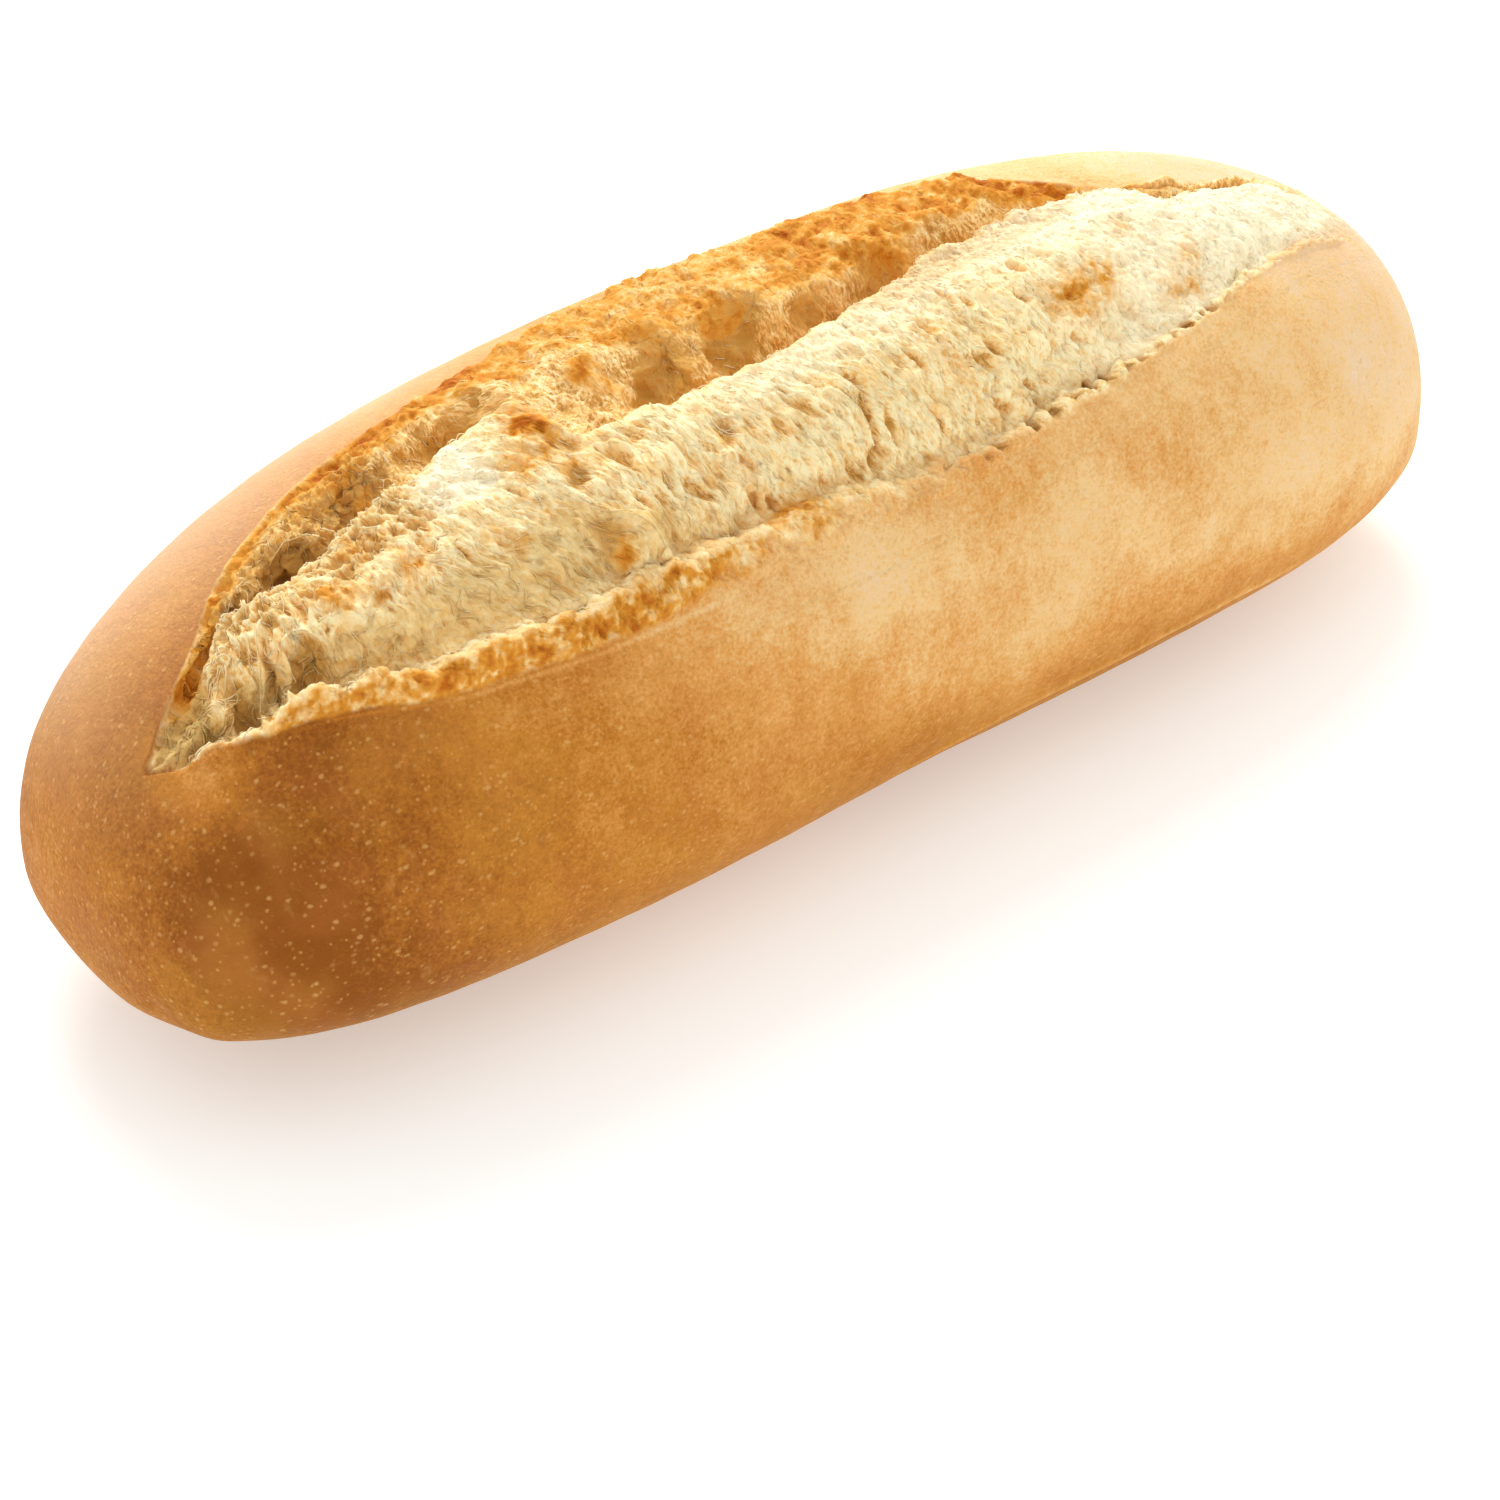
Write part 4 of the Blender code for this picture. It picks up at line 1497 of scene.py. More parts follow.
@dataclass(frozen=True)
class Landmarks:
    """The single hollows, slits, slopes and strands of the torn crumb."""

    hollows: tuple[Crag, ...] = crags(
        (-21.1, -11.3, 0.9, 2, 0.9), (-4.6, -15.2, 0.7, 2.4, 0.9), (-2.4, -16.8, 0.6, 1.7, 0.9),
        (-5.9, -18.5, 0.7, 0.9, 1.1), (-15.4, -13, 0.8, 1.6, 0.8), (-31.6, -15, 0.7, 1.8, 0.8),
        (-29.8, -12.9, 0.6, 1.6, 0.5), (-39, -15, 1.1, 2, 1.3), (-37.9, -8.8, 1.4, 1.2, 1.1),
        (-64.6, 3.6, 2.6, 1.7, 2), (-71.9, -3.7, 0.9, 1.4, 1), (-70.6, -9.2, 1.3, 2.2, 1.5),
        (-74.2, -7.4, 0.5, 2.4, 1.4), (-75.6, -5, 0.8, 1.6, 0.8), (-84.8, -2.5, 0.8, 0.8, 0.9),
        (-80.5, -3, 3.4, 1.6, 0.8), (-76.9, -9.3, 1.4, 1.8, 0.9), (-62.3, -9, 0.9, 0.9, 0.8),
        (-77.9, -7, 1, 2.6, 1.2), (-72.3, -10.6, 0.8, 1.8, 0.9), (-58.4, -7.9, 0.9, 0.8, 0.5),
        (-55.3, 7, 3.4, 1.4, 1.4), (-41.8, 8.6, 4, 1.4, 1.2), (-16.1, 3.6, 3, 2.8, 2),
        (-6.9, 3.9, 2.8, 2.8, 2), (3.6, 2.2, 2.2, 1.4, 1.2), (15.8, 4.1, 3, 1.5, 1.5),
        (-19.5, 1.6, 2, 1.2, 1.2), (28, 4, 3, 1.2, 1),
    )
    slits: tuple[Crag, ...] = crags(  # along the near edge, where the torn face leaves the crust
        (28.2, -20.6, 0.7, 0.75, 1.3), (25.5, -20.3, 0.6, 0.6, 1), (31.3, -20.3, 0.7, 0.55, 1),
        (36.7, -19.7, 0.7, 0.45, 0.9), (40, -19.2, 0.5, 0.45, 0.7), (43.1, -18.6, 0.8, 0.45, 0.9),
        (47.8, -18, 0.8, 0.55, 0.9), (52.8, -17.3, 0.8, 0.55, 1), (19.2, -21.1, 0.8, 0.55, 1),
        (15.8, -21.3, 0.7, 0.55, 0.9), (10.5, -21.8, 0.7, 0.55, 0.8), (7.9, -21.9, 0.55, 0.5, 0.8),
        (2, -21.5, 0.6, 0.5, 0.7), (22.6, -20.8, 0.9, 0.4, 0.8), (34, -20, 0.8, 0.4, 0.8),
        (45.6, -18.3, 0.6, 0.4, 0.7), (50.2, -17.7, 0.7, 0.4, 0.8),
    )
    slopes: tuple[Crag, ...] = crags(
        (8, -4.6, 6, 2.2, 0.9), (18, -2.4, 7, 2.5, 1.5), (30, -1.2, 8, 2.5, 1.5),
    )
    strands: tuple[Strand, ...] = (
        Strand(((-71.8, -2.7), (-73.4, -3.8), (-74.6, -5.9), (-75.3, -8.1), (-77.6, -11.2)), 0.21, 0.9),
        Strand(((-71.9, -4.8), (-72.9, -7.1), (-73.1, -9.3), (-74.6, -11.6)), 0.24, 0.98),
        Strand(((-73.0, -7.3), (-71.2, -6.0), (-70.0, -6.6), (-69.2, -8.8), (-68.8, -11.4)), 0.2, 0.68),
        Strand(((-66.3, 5.0), (-63.8, 5.6), (-61.7, 5.0), (-60.0, 4.3)), 0.27, 0.75),
        Strand(((-64.2, -9.1), (-62.8, -8.4), (-61.4, -8.9), (-60.9, -10.6)), 0.2, 0.45),
        Strand(((-62.4, -9.4), (-61.3, -11.4), (-61.7, -13.0)), 0.2, 0.38),
        Strand(((-60.2, -6.9), (-58.5, -9.4), (-58.8, -12.0)), 0.2, 0.38),
        Strand(((-67.0, -8.6), (-66.2, -11.0), (-67.0, -13.2)), 0.2, 0.38),
        Strand(((-73.4, 5.3), (-72.0, 5.0), (-71.5, 3.8), (-73.0, 3.4), (-73.9, 4.4)), 0.2, 0.38),
        Strand(((-77.9, -1.6), (-76.6, -2.9), (-76.2, -4.9)), 0.2, 0.38),
        Strand(((-71.5, 1.4), (-72.6, -0.6), (-74.9, -0.9)), 0.2, 0.3),
        Strand(((-24.0, -8.6), (-22.0, -9.4), (-20.2, -11.4), (-19.6, -13.6)), 0.2, 0.34),
        Strand(((-17.5, -9.0), (-15.0, -11.2), (-13.2, -15.0)), 0.2, 0.3),
        Strand(((-7.5, -8.8), (-4.2, -11.2), (-1.2, -14.0), (-1.4, -17.6)), 0.2, 0.38),
        Strand(((-9.5, -11.0), (-6.3, -13.5), (-5.2, -17.2)), 0.2, 0.3),
        Strand(((-33.6, -12.8), (-32.4, -15.2), (-30.6, -17.6)), 0.2, 0.38),
        Strand(((-40.6, -12.6), (-40.3, -15.6), (-40.5, -18.4)), 0.2, 0.45),
        Strand(((-38.0, -13.4), (-36.2, -15.9), (-34.2, -18.2)), 0.27, 0.68),
        Strand(((45.0, 1.2), (50.0, 0.4), (56.0, -1.2), (62.0, -1.6), (70.0, -1.8)), 0.5, -0.8),
    )


@dataclass
class TornCrumb:
    """The bloom, the furrow and the torn wall, as a fine sheet in several pieces side by side."""

    loaf: Loaf
    slash: Slash
    baking: Baking
    skin: CrustSkin
    texture: CrumbTexture
    material: Material
    toasting: Toasting = Toasting()
    landmarks: Landmarks = Landmarks()
    first: float = -91.0
    last: float = 90.0
    pieces: int = 4
    columns: int = 340
    rows: int = 288
    margin: float = 3.0
    least_half_width: float = 2.0
    samples: int = 420
    proud: float = 0.04
    tuck: float = 0.12
    tuck_width: float = 1.5
    far_fray: float = 0.25
    far_blend: float = 0.6
    torn_ends: float = 3.0
    fine_fade: float = 1.0
    fine_ends: float = 6.0
    landmark_jag: float = 0.3  # how far the landmarks follow the jags
    edge_line: float = -0.16
    edge_line_inset: float = 0.2
    edge_line_width: float = 0.18
    edge_line_run: tuple[float, float, float] = (-78.0, -26.0, 8.0)  # its ends and its fade
    blend_in: Knots = ((-91, 0.5), (-83, 1.0), (-78, 0.3), (-75, 0), (-40, 0), (-26, 0.8), (0, 1.3),
                       (12, 0.5), (25, 0.2), (55, 0.2), (70, 0.8), (90, 1.5))
    blend_width: Knots = ((-91, 1.2), (-83, 1.2), (-75, 0.45), (-40, 0.45), (-26, 1.2), (0, 1.5),
                          (12, 1.0), (25, 0.6), (55, 0.7), (70, 2.4), (90, 4))
    jags: tuple[tuple[float, float], ...] = ((0.9, 3.4), (0.6, 1.7), (0.3, 0.8))  # reach and size
    wide_reach: int = 13  # steps of the sheet over which its hollows are judged
    # how much whiter the far end of the crumb is, partly whiter crumb and partly painted highlight
    end_pale: Knots = ((30, 0.6), (60, 1.0))
    hair: Knots = ((-90, 0.3), (-60, 0.3), (-45, 0.4), (-20, 0.55), (0, 0.55), (22, 0.3), (45, 0.12),
                   (90, 0.1))
    fray: Knots = ((-91, 0.25), (-40, 0.25), (-26, 1.4), (5, 1.4), (18, 0.4), (90, 0.3))  # of the near edge

    def plain(self, along: FloatArray, across: FloatArray) -> FloatArray:
        """Points on the plain loaf at places along and across it."""
        angle = self.loaf.angle_of(along, across)
        across, height = self.loaf.at_angle(along, angle)
        return np.stack([along + 0.0 * across, across, height], axis=-1)

    def sheet_places(self) -> Pair:
        """Where the sheet's columns and rows lie, evenly spaced over the slash's own relief.

        Returns:
            Places along, one for each column, and places across, for each column and row.
        """
        along = np.linspace(self.first, self.last, self.pieces * self.columns + 1)[:, None]
        near, far = self.slash.edges(along)
        seam = (near + far) / 2
        near = np.minimum(near, seam - self.least_half_width) - self.margin
        far = np.maximum(far, seam + self.least_half_width) + self.margin
        across = near + (far - near) * np.linspace(0, 1, self.samples)
        places = self.plain(along, across)
        lift = self.slash.relief(along, across) - total(self.landmarks.slopes, along, across)
        lift = self.slash.inside(along, across) * lift
        points = places + lift[..., None] * self.loaf.outward(along, places[..., 1], places[..., 2])
        steps = np.linalg.norm(np.diff(points[..., 1:], axis=1), axis=-1)
        run = np.concatenate([0 * near, np.cumsum(steps, axis=1)], axis=1)
        shares = np.linspace(0, 1, self.rows + 1)
        rows = [np.interp(shares * length[-1], length, line) for length, line in zip(run, across)]
        return along, np.array(rows)

    def zones(self, along: FloatArray, across: FloatArray) -> Zones:
        """Which part of the slash each place belongs to.

        Args:
            along: places along, one for each column.
            across: places across, for each column and row.

        Returns:
            The zones' shares at each place.
        """
        lines = self.slash.lines(along)
        left = smoothstep((-20 - along) / 14)
        before_brink = smoothstep((lines.brink + 0.4 - across) / 0.7)
        past_crest = smoothstep((across - lines.crest) / 1.5)
        return Zones(
            brink=lines.brink,
            lip=between(across, lines.near - 0.7, lines.lip + 0.9, 0.8),
            low_face=between(across, lines.lip, (lines.shoulder + lines.crest) / 2, 2.5) * left,
            face=between(across, lines.trough - 0.5, lines.brink + 0.5, 1.5),
            fluff=smoothstep((across - lines.crest) / 4.0) * before_brink * smoothstep((along + 26) / 14),
            fringe_near=hill(across - lines.lip - 0.3, 0.6),
            fringe=hill(across - lines.brink + 0.6, 1.3) * smoothstep((along + 38) / 6),
            wall=between(across, lines.brink + 1.0, lines.far + 1.0, 1.2),
            wall_top=smoothstep((across - lines.rim + 1.5) / 2.2),
            groove=hill(across - lines.far + 1.3, 1.05) * between(along, -86.0, -40.0, 6.0),
            web=between(along, -80.0, -48.0, 5.0) * between(across, lines.crest, lines.far - 1.5, 2.0),
            patch=between(along, -54.0, -43.0, 3.0) * past_crest * before_brink,
            tip=smoothstep((-77.5 - along + 0.25 * across) / 2),
            end=smoothstep((along - 16) / 26) * before_brink,
            slope=hill(across - lines.brink - 0.6, 2.4) * between(along, 2.0, 62.0, 6.0),
        )

    def detail(self, places: FloatArray, zones: Zones,
               single: FloatArray) -> tuple[FloatArray, FloatArray, FloatArray]:
        """The crumb's fine relief.

        Args:
            places: points on the sheet's main form.
            zones: the slash's zones.
            single: lift of the single hollows and strands.

        Returns:
            The lift at each point, how deep in a pore each lies, from 0 to about 1, and the points
            drawn out along the threads, with the three axes last.
        """
        texture = self.texture
        warped, long = texture.warped(places, zones.brink)
        calm = np.maximum(np.maximum(zones.low_face, zones.patch), zones.tip)
        open_crumb = zones.face * (1 - 0.6 * calm) * (1 - 0.75 * zones.fluff) * (1 - 0.6 * zones.web)
        open_crumb = open_crumb * (1 - 0.75 * zones.end)
        bubbles, threads = texture.bubbles(long)
        depth = bubbles * (0.1 + 0.9 * open_crumb + 0.3 * zones.wall)
        depth += texture.pores(long) * (0.45 + 0.55 * zones.face) * (1 - 0.1 * calm) * (1 - 0.2 * zones.end)
        depth += texture.webs(warped) * zones.web + 0.7 * zones.groove
        depth += texture.pricks(long)
        depth += texture.fibres(warped) * (0.4 + 0.6 * zones.face) * (1 - 0.6 * zones.end)
        ridges = texture.thread_height * threads * (0.2 + 0.8 * open_crumb)
        grainy = np.maximum(np.maximum(zones.lip, zones.slope), zones.fluff)
        grains = texture.granules(warped) * (0.25 + 0.75 * grainy)
        lumps = texture.lumps(warped) * zones.wall
        pore = np.clip((depth - ridges - np.minimum(single, 0.6)) / 1.25 - 0.3 * (grains + lumps), 0.0, 1.2)
        return grains + lumps + ridges + single - depth + 0.3, pore, long

    def jagged(self, along: FloatArray, across: FloatArray, places: FloatArray) -> FloatArray:
        """How far jags shift the slash's lines. The finer ones nearly fade out from the brink to the rim.

        Args:
            along: places along, one for each column.
            across: places across.
            places: the same places on the plain loaf.

        Returns:
            The shift across at each place.
        """
        lines = self.slash.lines(along)
        smooth = between(across, lines.brink - 0.5, lines.rim + 1.0, 0.8)
        ragged = 1 - 0.9 * smooth * smoothstep((along + 34) / 6)
        broad, *finer = (
            reach * lattice_noise(places / size, Seed.JAGS + i) for i, (reach, size) in enumerate(self.jags)
        )
        return broad + ragged * sum(finer)

    def cover(self, along: FloatArray, across: FloatArray, jagged: FloatArray) -> Pair:
        """Where the torn crumb takes over from the crust.

        Args:
            along: places along, one for each column.
            across: places across.
            jagged: how far jags shift each place.

        Returns:
            How much torn crumb shows at each place, and how much of the crumb's fine relief there is.
        """
        near, far = self.slash.edges(along)
        frayed = across + curve(self.fray, along) * jagged
        torn = smoothstep((frayed - near - curve(self.blend_in, along)) / curve(self.blend_width, along))
        torn = torn * smoothstep((far - across - self.far_fray * jagged) / self.far_blend)
        fine = between(across, near, far, self.fine_fade) * self.slash.ends(along, self.fine_ends)
        return torn * self.slash.ends(along, self.torn_ends), fine

    def crust_marks(self, along: FloatArray, across: FloatArray, places: FloatArray) -> Marks:
        """The marks of the crust that meets the crumb, with a browner line along the near edge.

        Args:
            along: places along, one for each column.
            across: places across.
            places: the same places on the plain loaf.

        Returns:
            The marks by name.
        """
        near, _ = self.slash.edges(along)
        edge = hill(across - near + self.edge_line_inset, self.edge_line_width)
        bake = self.baking.level(places) + self.edge_line * edge * between(along, *self.edge_line_run)
        return {"bake": bake, "blush": self.baking.blush(places)}

    def crumb_marks(self, along: FloatArray, pore: FloatArray, fade: FloatArray, zones: Zones) -> Marks:
        """The marks of the crumb that follow from its zones.

        Args:
            along: places along, one for each column.
            pore: how deep in a pore each place lies.
            fade: how much of the fine relief there is.
            zones: the slash's zones.

        Returns:
            The marks by name.
        """
        end_pale = curve(self.end_pale, along) * zones.end
        return {
            # pore: depth in the pores, for painted shade; more of it on the torn wall, which faces away
            # from the light
            "pore": (pore * (1 + 0.4 * zones.web) + 0.52 * zones.wall) * fade,
            # shade: painted shade on the lower face, which faces away from the light, on the floors of the
            # webs and in the pocket at the tip
            "shade": 0.7 * zones.low_face + (0.2 + 0.7 * np.minimum(pore, 1.0)) * zones.web
                     + 1.4 * zones.tip * np.maximum(zones.face, 0.7 * zones.lip),
            # pale: whiter on the bloom's top, the stretched patch and the far end, partly whiter crumb and
            # partly painted highlight where the light falls
            "pale": np.clip(1.1 * zones.patch + 0.6 * zones.fluff + end_pale, 0.0, 1.0) * (1 - zones.lip),
        }

    def shaped(self) -> Sheet:
        """Works out the whole surface.

        Returns:
            The surface, in the loaf's own frame.
        """
        along, across = self.sheet_places()
        places = self.plain(along, across)
        outward = self.loaf.outward(along, places[..., 1], places[..., 2])
        jagged = self.jagged(along, across, places)
        torn, fade = self.cover(along, across, jagged)
        zones = self.zones(along, across + jagged)
        bent = across + self.landmark_jag * jagged
        own = self.landmarks
        single = sum(strand.shape(along, bent) for strand in own.strands)
        slopes, hollows, slits = (
            total(several, along, bent) for several in (own.slopes, own.hollows, own.slits)
        )
        single = single - hollows - slits
        inside = self.slash.inside(along, across)
        slopes = inside * slopes
        relief = self.slash.relief(along, across + jagged) + self.slash.crumbling(places)
        lift = inside * relief - slopes + self.loaf.waviness(places) + self.skin.lift(places)
        points = places + lift[..., None] * outward
        normal = np.cross(np.gradient(points, axis=0), np.gradient(points, axis=1))
        normal /= np.maximum(np.linalg.norm(normal, axis=-1, keepdims=True), TINY)
        fine, pore, flow = self.detail(points, zones, single)
        # painted shade in the single hollows and slits, and on the slopes down to the furrow
        dark = np.maximum(0.75 * smoothstep((hollows - 0.25) / 0.6), smoothstep((slits - 0.15) / 0.4))
        dark = np.maximum(dark, 0.45 * smoothstep((slopes - 0.1) / 0.5))
        crevice = np.maximum(self.crevice(lift + slopes + fade * (single + slits)), dark) * fade
        points = points + (fade * fine)[..., None] * normal
        points = points + self.border_lift(along, across)[..., None] * outward
        marks = {
            **self.crust_marks(along, across, places),
            **self.crumb_marks(along, pore, fade, zones),
            "toast": self.toasting.level(along, across + jagged, places, zones),
            # painted shade also along the groove by the far edge
            "crevice": np.maximum(crevice, 0.55 * zones.groove),
            "torn": torn,
            "flow": flow * MM,
            "hairy": self.hairiness(along, zones) * ((torn > 0.99) & (fade > 0.9)),
        }
        return Sheet(along[:, 0], across, points, normal, marks)

    def build(self, sheet: Sheet) -> list[Object]:
        """Makes the sheet's pieces, from the near end of the roll to the far end."""
        points = packed(sheet.points)
        return [self.cut(part, points, sheet.marks) for part in range(self.pieces)]

    def hairiness(self, along: FloatArray, zones: Zones) -> FloatArray:
        """How thickly fine threads lie over each place, from 0 to 1."""
        thick = 0.25 + 0.75 * np.maximum(np.maximum(zones.face, zones.web), zones.low_face)
        thick = np.maximum(thick, zones.fringe) * curve(self.hair, along) + 0.5 * zones.slope
        return thick * (1 - 0.9 * zones.lip) * (1 - 0.5 * zones.wall * (1 - zones.web))

    def crevice(self, lift: FloatArray) -> FloatArray:
        """How far each place lies down in a broad hollow, from 0 to 1; the crumb's painted shade follows
        it.
        """
        broad = blurred(blurred(lift, self.wide_reach), self.wide_reach // 2)
        return smoothstep((broad - lift - 0.15) / 1.5)

    def border_lift(self, along: FloatArray, across: FloatArray) -> FloatArray:
        """How far the sheet lies proud of the crust; its borders tuck in under it."""
        from_border = np.minimum(np.minimum(across - across[:, :1], across[:, -1:] - across),
                                 np.minimum(along - self.first, self.last - along))
        return self.proud - self.tuck * (1 - smoothstep(from_border / self.tuck_width))

    def cut(self, part: int, points: FloatArray, marks: Marks) -> Object:
        """Makes one piece of the sheet.

        Args:
            part: which piece, counted from the near end.
            points: the whole sheet's points in metres, by column and row.
            marks: the whole sheet's marks.

        Returns:
            The piece.
        """
        shape = bmesh.new()
        bmesh.ops.create_grid(shape, x_segments=self.columns, y_segments=self.rows, size=1.0)
        spots = np.array([vert.co[:2] for vert in shape.verts])
        column = np.rint((spots[:, 0] + 1) / 2 * self.columns).astype(int) + part * self.columns
        row = np.rint((spots[:, 1] + 1) / 2 * self.rows).astype(int)
        own = {name: values[column, row] for name, values in marks.items()}
        return finished_piece(f"torn_crumb_{part + 1}", shape, points[column, row], own, self.material)


@dataclass
class LooseThreads:
    """Fine threads of crumb that lie over the torn surface, their ends grown into it."""

    sheet: Sheet
    strands: tuple[Strand, ...]
    lean: Knots
    material: Material
    count: int = 5000
    rings: int = 7
    sides: int = 3
    least_length: float = 0.9
    most_length: float = 3.2
    thickness: Knots = ((-90, 1.3), (-52, 1.2), (-38, 1.0), (90, 0.85))
    length_share: Knots = ((-90, 1.1), (-45, 1.0), (-20, 0.85), (10, 0.6), (90, 0.45))
    # turns, in radians
    spread: Knots = ((-90, 0.7), (-50, 0.6), (-35, 0.35), (0, 0.4), (30, 0.7), (90, 0.9))
    least_radius: float = 0.045
    most_radius: float = 0.1
    most_lift: float = 0.3
    sunk: float = 0.12
    strand_lift: float = 0.5
    strand_radius: float = 0.4  # as a share of the strand's half width
    lean_share: float = 1.3
    bow: float = 0.12  # the usual sideways bow, as a share of the length
    tip: float = 0.45  # how thick the ends are, as a share of the middle

    def template(self) -> bmesh.types.BMesh:
        """One straight thread along Z, from 0 to 1, with a ring of vertices at each step."""
        shape = bmesh.new()
        bmesh.ops.create_cone(shape, cap_ends=True, segments=self.sides, radius1=1.0, radius2=1.0,
                              depth=1.0)
        bmesh.ops.translate(shape, verts=shape.verts, vec=(0.0, 0.0, 0.5))
        for share in np.linspace(0, 1, self.rings)[1:-1]:
            parts = [*shape.verts, *shape.edges, *shape.faces]
            bmesh.ops.bisect_plane(shape, geom=parts, plane_co=(0.0, 0.0, share), plane_no=(0.0, 0.0, 1.0))
        return shape

    def scattered(self) -> tuple[FloatArray, FloatArray, FloatArray, FloatArray]:
        """Draws the threads' places, most of them where the crumb is fluffy.

        Returns:
            The column and row of each thread's rings, its radius and its lift, thread by thread.
        """
        draw = np.random.default_rng(Seed.THREADS)
        columns, rows = self.sheet.across.shape
        tries = 4 * self.count
        column, row = draw.uniform(0, columns - 1, tries), draw.uniform(0, rows - 1, tries)
        hairy = self.sheet.read(self.sheet.marks["hairy"], column, row)
        kept = np.flatnonzero(draw.uniform(0, 1, tries) < hairy)[: self.count]
        column, row = column[kept], row[kept]
        size = len(kept)
        along = self.sheet.along[column.astype(int)]
        length = draw.uniform(self.least_length, self.most_length, size) * curve(self.length_share, along)
        lean = np.arctan(self.lean_share * curve(self.lean, along))
        turn = draw.normal(0, 1, size) * curve(self.spread, along) - lean
        column_step = np.mean(np.diff(self.sheet.along))
        steps = np.linalg.norm(np.diff(self.sheet.points, axis=1), axis=-1)
        row_step = steps.mean(axis=1)[column.astype(int)]
        share = np.linspace(-0.5, 0.5, self.rings)
        bow = draw.normal(0, self.bow, size)[:, None] * (share**2 - 0.25) * 4
        column = column[:, None] + (length * np.sin(turn))[:, None] / column_step * share
        column = column + length[:, None] * bow / column_step
        row = row[:, None] + (length * np.cos(turn) / row_step)[:, None] * share
        size_share = curve(self.thickness, along)
        radius = draw.uniform(self.least_radius, self.most_radius, size) * size_share
        return column, row, radius, draw.uniform(0.0, self.most_lift, size) * size_share**2

    def named(self) -> tuple[FloatArray, FloatArray, FloatArray, FloatArray]:
        """The single strands' rings, in the same form as the scattered threads'."""
        columns, rows, radii, lifts = [], [], [], []
        for strand in self.strands:
            if strand.height <= 0:
                continue
            path = np.array(strand.path)
            run = np.concatenate([[0], np.cumsum(np.linalg.norm(np.diff(path, axis=0), axis=1))])
            steps = np.linspace(0, run[-1], self.rings)
            along, across = (np.interp(steps, run, path[:, axis]) for axis in (0, 1))
            column = np.interp(along, self.sheet.along, np.arange(len(self.sheet.along)))
            lines = self.sheet.across[np.rint(column).astype(int)]
            columns.append(column)
            rows.append([
                np.interp(place, line, np.arange(len(line))) for place, line in zip(across, lines)
            ])
            radii.append(self.strand_radius * strand.half_width)
            lifts.append(self.strand_lift * strand.height)
        return np.array(columns), np.array(rows), np.array(radii), np.array(lifts)

    def build(self) -> Object:
        """Makes the threads, all in one piece."""
        column, row, radius, lift = (np.concatenate(pair) for pair in zip(self.scattered(), self.named()))
        share = np.linspace(0, 1, self.rings)
        arch = np.sin(np.pi * share)
        normal = self.sheet.read(self.sheet.normal, column, row)
        normal /= np.linalg.norm(normal, axis=-1, keepdims=True)
        height = lift[:, None] * arch + self.sunk * (arch - 1)
        path = self.sheet.read(self.sheet.points, column, row) + height[..., None] * normal
        forward = np.gradient(path, axis=1)
        forward -= np.sum(forward * normal, axis=-1, keepdims=True) * normal
        forward /= np.maximum(np.linalg.norm(forward, axis=-1, keepdims=True), TINY)
        side = np.cross(normal, forward)
        shape = self.template()
        mesh = bpy.data.meshes.new("thread")
        shape.to_mesh(mesh)
        for _ in range(len(column) - 1):
            shape.from_mesh(mesh)
        spots = np.array([vert.co for vert in mesh.vertices])
        bpy.data.meshes.remove(mesh)
        ring = np.rint(spots[:, 2] * (self.rings - 1)).astype(int)
        thickness = (radius[:, None] * (self.tip + (1 - self.tip) * arch))[:, ring, None]
        outwards = spots[:, :1] * side[:, ring] + spots[:, 1:2] * normal[:, ring]
        points = path[:, ring] + thickness * outwards
        marks = {
            name: self.sheet.read(values, column, row)[:, ring] for name, values in self.sheet.marks.items()
        }
        # the threads lie on top, so they take none of the pores' painted shade and half of the hollows'
        # painted shade
        marks["pore"] = 0.0 * marks["pore"]
        marks["crevice"] = 0.5 * marks["crevice"]
        own = {name: values.reshape(-1, *values.shape[2:]) for name, values in marks.items()}
        return finished_piece("loose_threads", shape, packed(points.reshape(-1, 3)), own, self.material)


# -------- studio


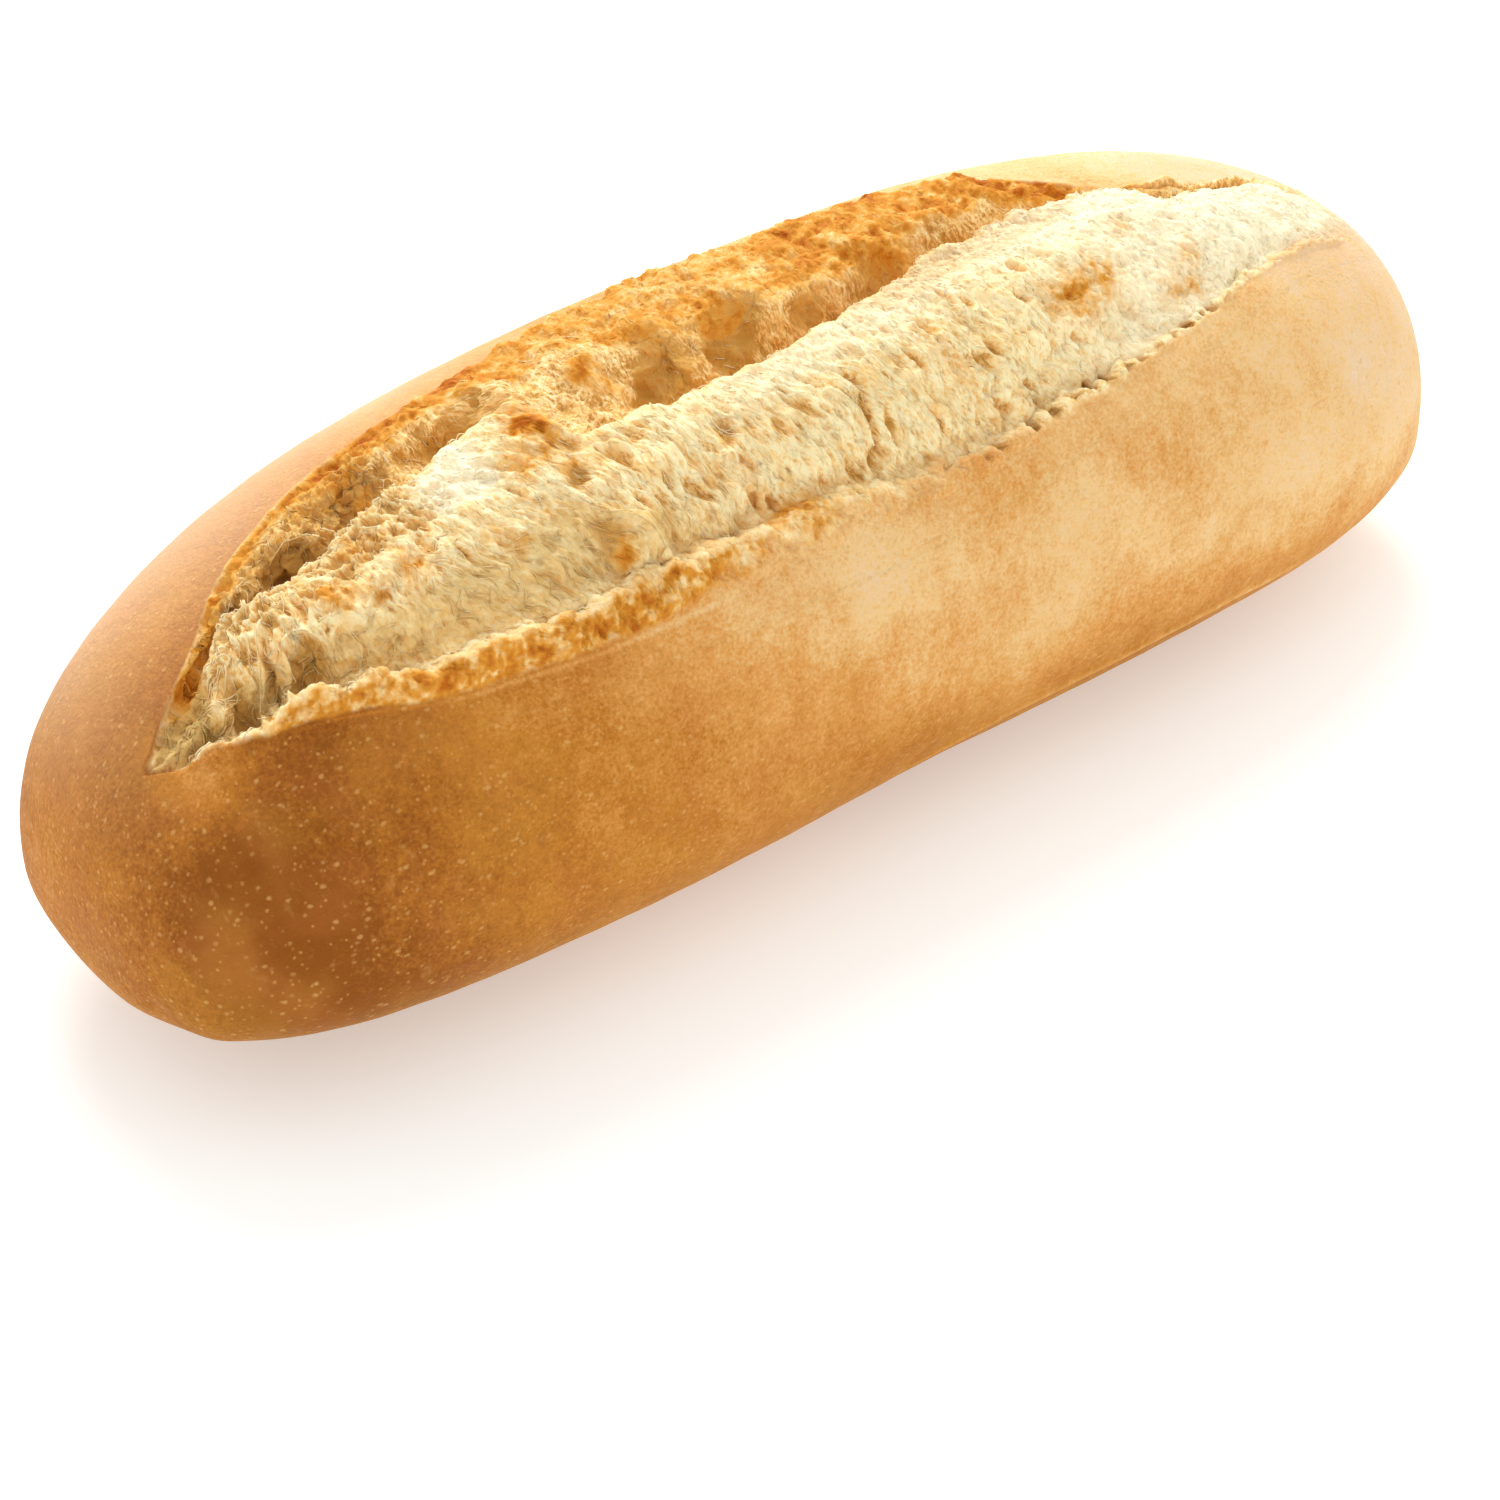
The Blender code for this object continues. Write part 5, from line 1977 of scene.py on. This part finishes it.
@dataclass
class Studio:
    """A white floor, soft light and the camera."""

    floor_size: float = 6.0
    floor_glow: float = 0.33
    floor_colours: tuple[Colour, Colour] = ((0.78, 0.795, 0.77, 1.0), (0.80, 0.815, 0.79, 1.0))
    floor_cloud: Layer = Layer(400.0, 2.0)
    floor_roughness: float = 0.9
    azimuth: float = -39.80
    elevation: float = 36.31
    distance: float = 357.4
    target: tuple[float, float, float] = (-7.8, -0.6, 0.0)
    lens: float = 72.0
    world_strength: float = 0.95
    key_power: float = 8.0
    key_size: float = 0.7
    key_distance: float = 1.0
    key_back: float = 0.62
    key_right: float = -0.12
    key_up: float = 0.72

    def build_floor(self) -> None:
        """Lays the floor."""
        shape = bmesh.new()
        bmesh.ops.create_grid(shape, x_segments=1, y_segments=1, size=self.floor_size / 2)
        mesh = bpy.data.meshes.new("floor")
        shape.to_mesh(mesh)
        shape.free()
        material, wiring, shader = new_finish("white_floor")
        cloud = wiring.grain(wiring.node("ShaderNodeTexCoord").outputs["Object"], self.floor_cloud)
        wiring.feed(shader.inputs["Base Color"], wiring.blend(cloud, *self.floor_colours))
        shader.inputs["Roughness"].default_value = self.floor_roughness
        shader.inputs["Specular IOR Level"].default_value = 0.0
        shader.inputs["Emission Color"].default_value = (1.0, 1.0, 1.0, 1.0)
        shader.inputs["Emission Strength"].default_value = self.floor_glow
        mesh.materials.append(material)
        floor = bpy.data.objects.new("floor", mesh)
        bpy.context.scene.collection.objects.link(floor)

    def build_light(self) -> None:
        """Hangs the soft light and brightens the room."""
        world = bpy.data.worlds.new("room")
        world.use_nodes = True
        background = world.node_tree.nodes["Background"]
        background.inputs["Color"].default_value = (1.0, 1.0, 1.0, 1.0)
        background.inputs["Strength"].default_value = self.world_strength
        bpy.context.scene.world = world
        turn = math.radians(self.azimuth)
        back = Vector((-math.sin(turn), math.cos(turn), 0.0))
        right = Vector((math.cos(turn), math.sin(turn), 0.0))
        way = (back * self.key_back + right * self.key_right + Vector((0, 0, self.key_up))).normalized()
        data = bpy.data.lights.new("softbox", "AREA")
        data.energy = self.key_power
        data.shape = "DISK"
        data.size = self.key_size
        light = bpy.data.objects.new("softbox", data)
        light.location = way * self.key_distance
        light.rotation_euler = way.to_track_quat("Z", "Y").to_euler()
        bpy.context.scene.collection.objects.link(light)

    def build_camera(self) -> None:
        """Sets up the camera and plain, untoned colours."""
        turn, tilt = math.radians(self.azimuth), math.radians(self.elevation)
        back = Vector((math.sin(turn) * math.cos(tilt), -math.cos(turn) * math.cos(tilt), math.sin(tilt)))
        target = Vector(self.target) - Vector((0.0, PLAN_SHIFT, 0.0))
        data = bpy.data.cameras.new("camera")
        data.lens = self.lens
        data.sensor_width = 36.0
        data.clip_start = 0.01
        camera = bpy.data.objects.new("camera", data)
        place = (target + back * self.distance) * MM
        camera.matrix_world = Matrix.Translation(place) @ back.to_track_quat("Z", "Y").to_matrix().to_4x4()
        bpy.context.scene.collection.objects.link(camera)
        bpy.context.scene.camera = camera
        bpy.context.scene.view_settings.view_transform = "Standard"

    def build(self) -> None:
        """Makes the whole studio."""
        self.build_floor()
        self.build_light()
        self.build_camera()


def main() -> None:
    """Builds the roll's pieces and the studio."""
    logging.basicConfig(level=logging.INFO, format="%(message)s")
    loaf, slash, baking, skin = Loaf(), Slash(), Baking(), CrustSkin()
    browning, tinting = CrustBrowning().build(), CrumbTinting().build()
    CrustShell(loaf, slash, baking, skin, CrustFinish(browning).build()).build()
    texture, finish = CrumbTexture(), CrumbFinish(browning, tinting).build()
    crumb = TornCrumb(loaf, slash, baking, skin, texture, finish)
    sheet = crumb.shaped()
    crumb.build(sheet)
    LooseThreads(sheet, crumb.landmarks.strands, texture.lean, finish).build()
    Studio().build()


if __name__ == "__main__":
    main()
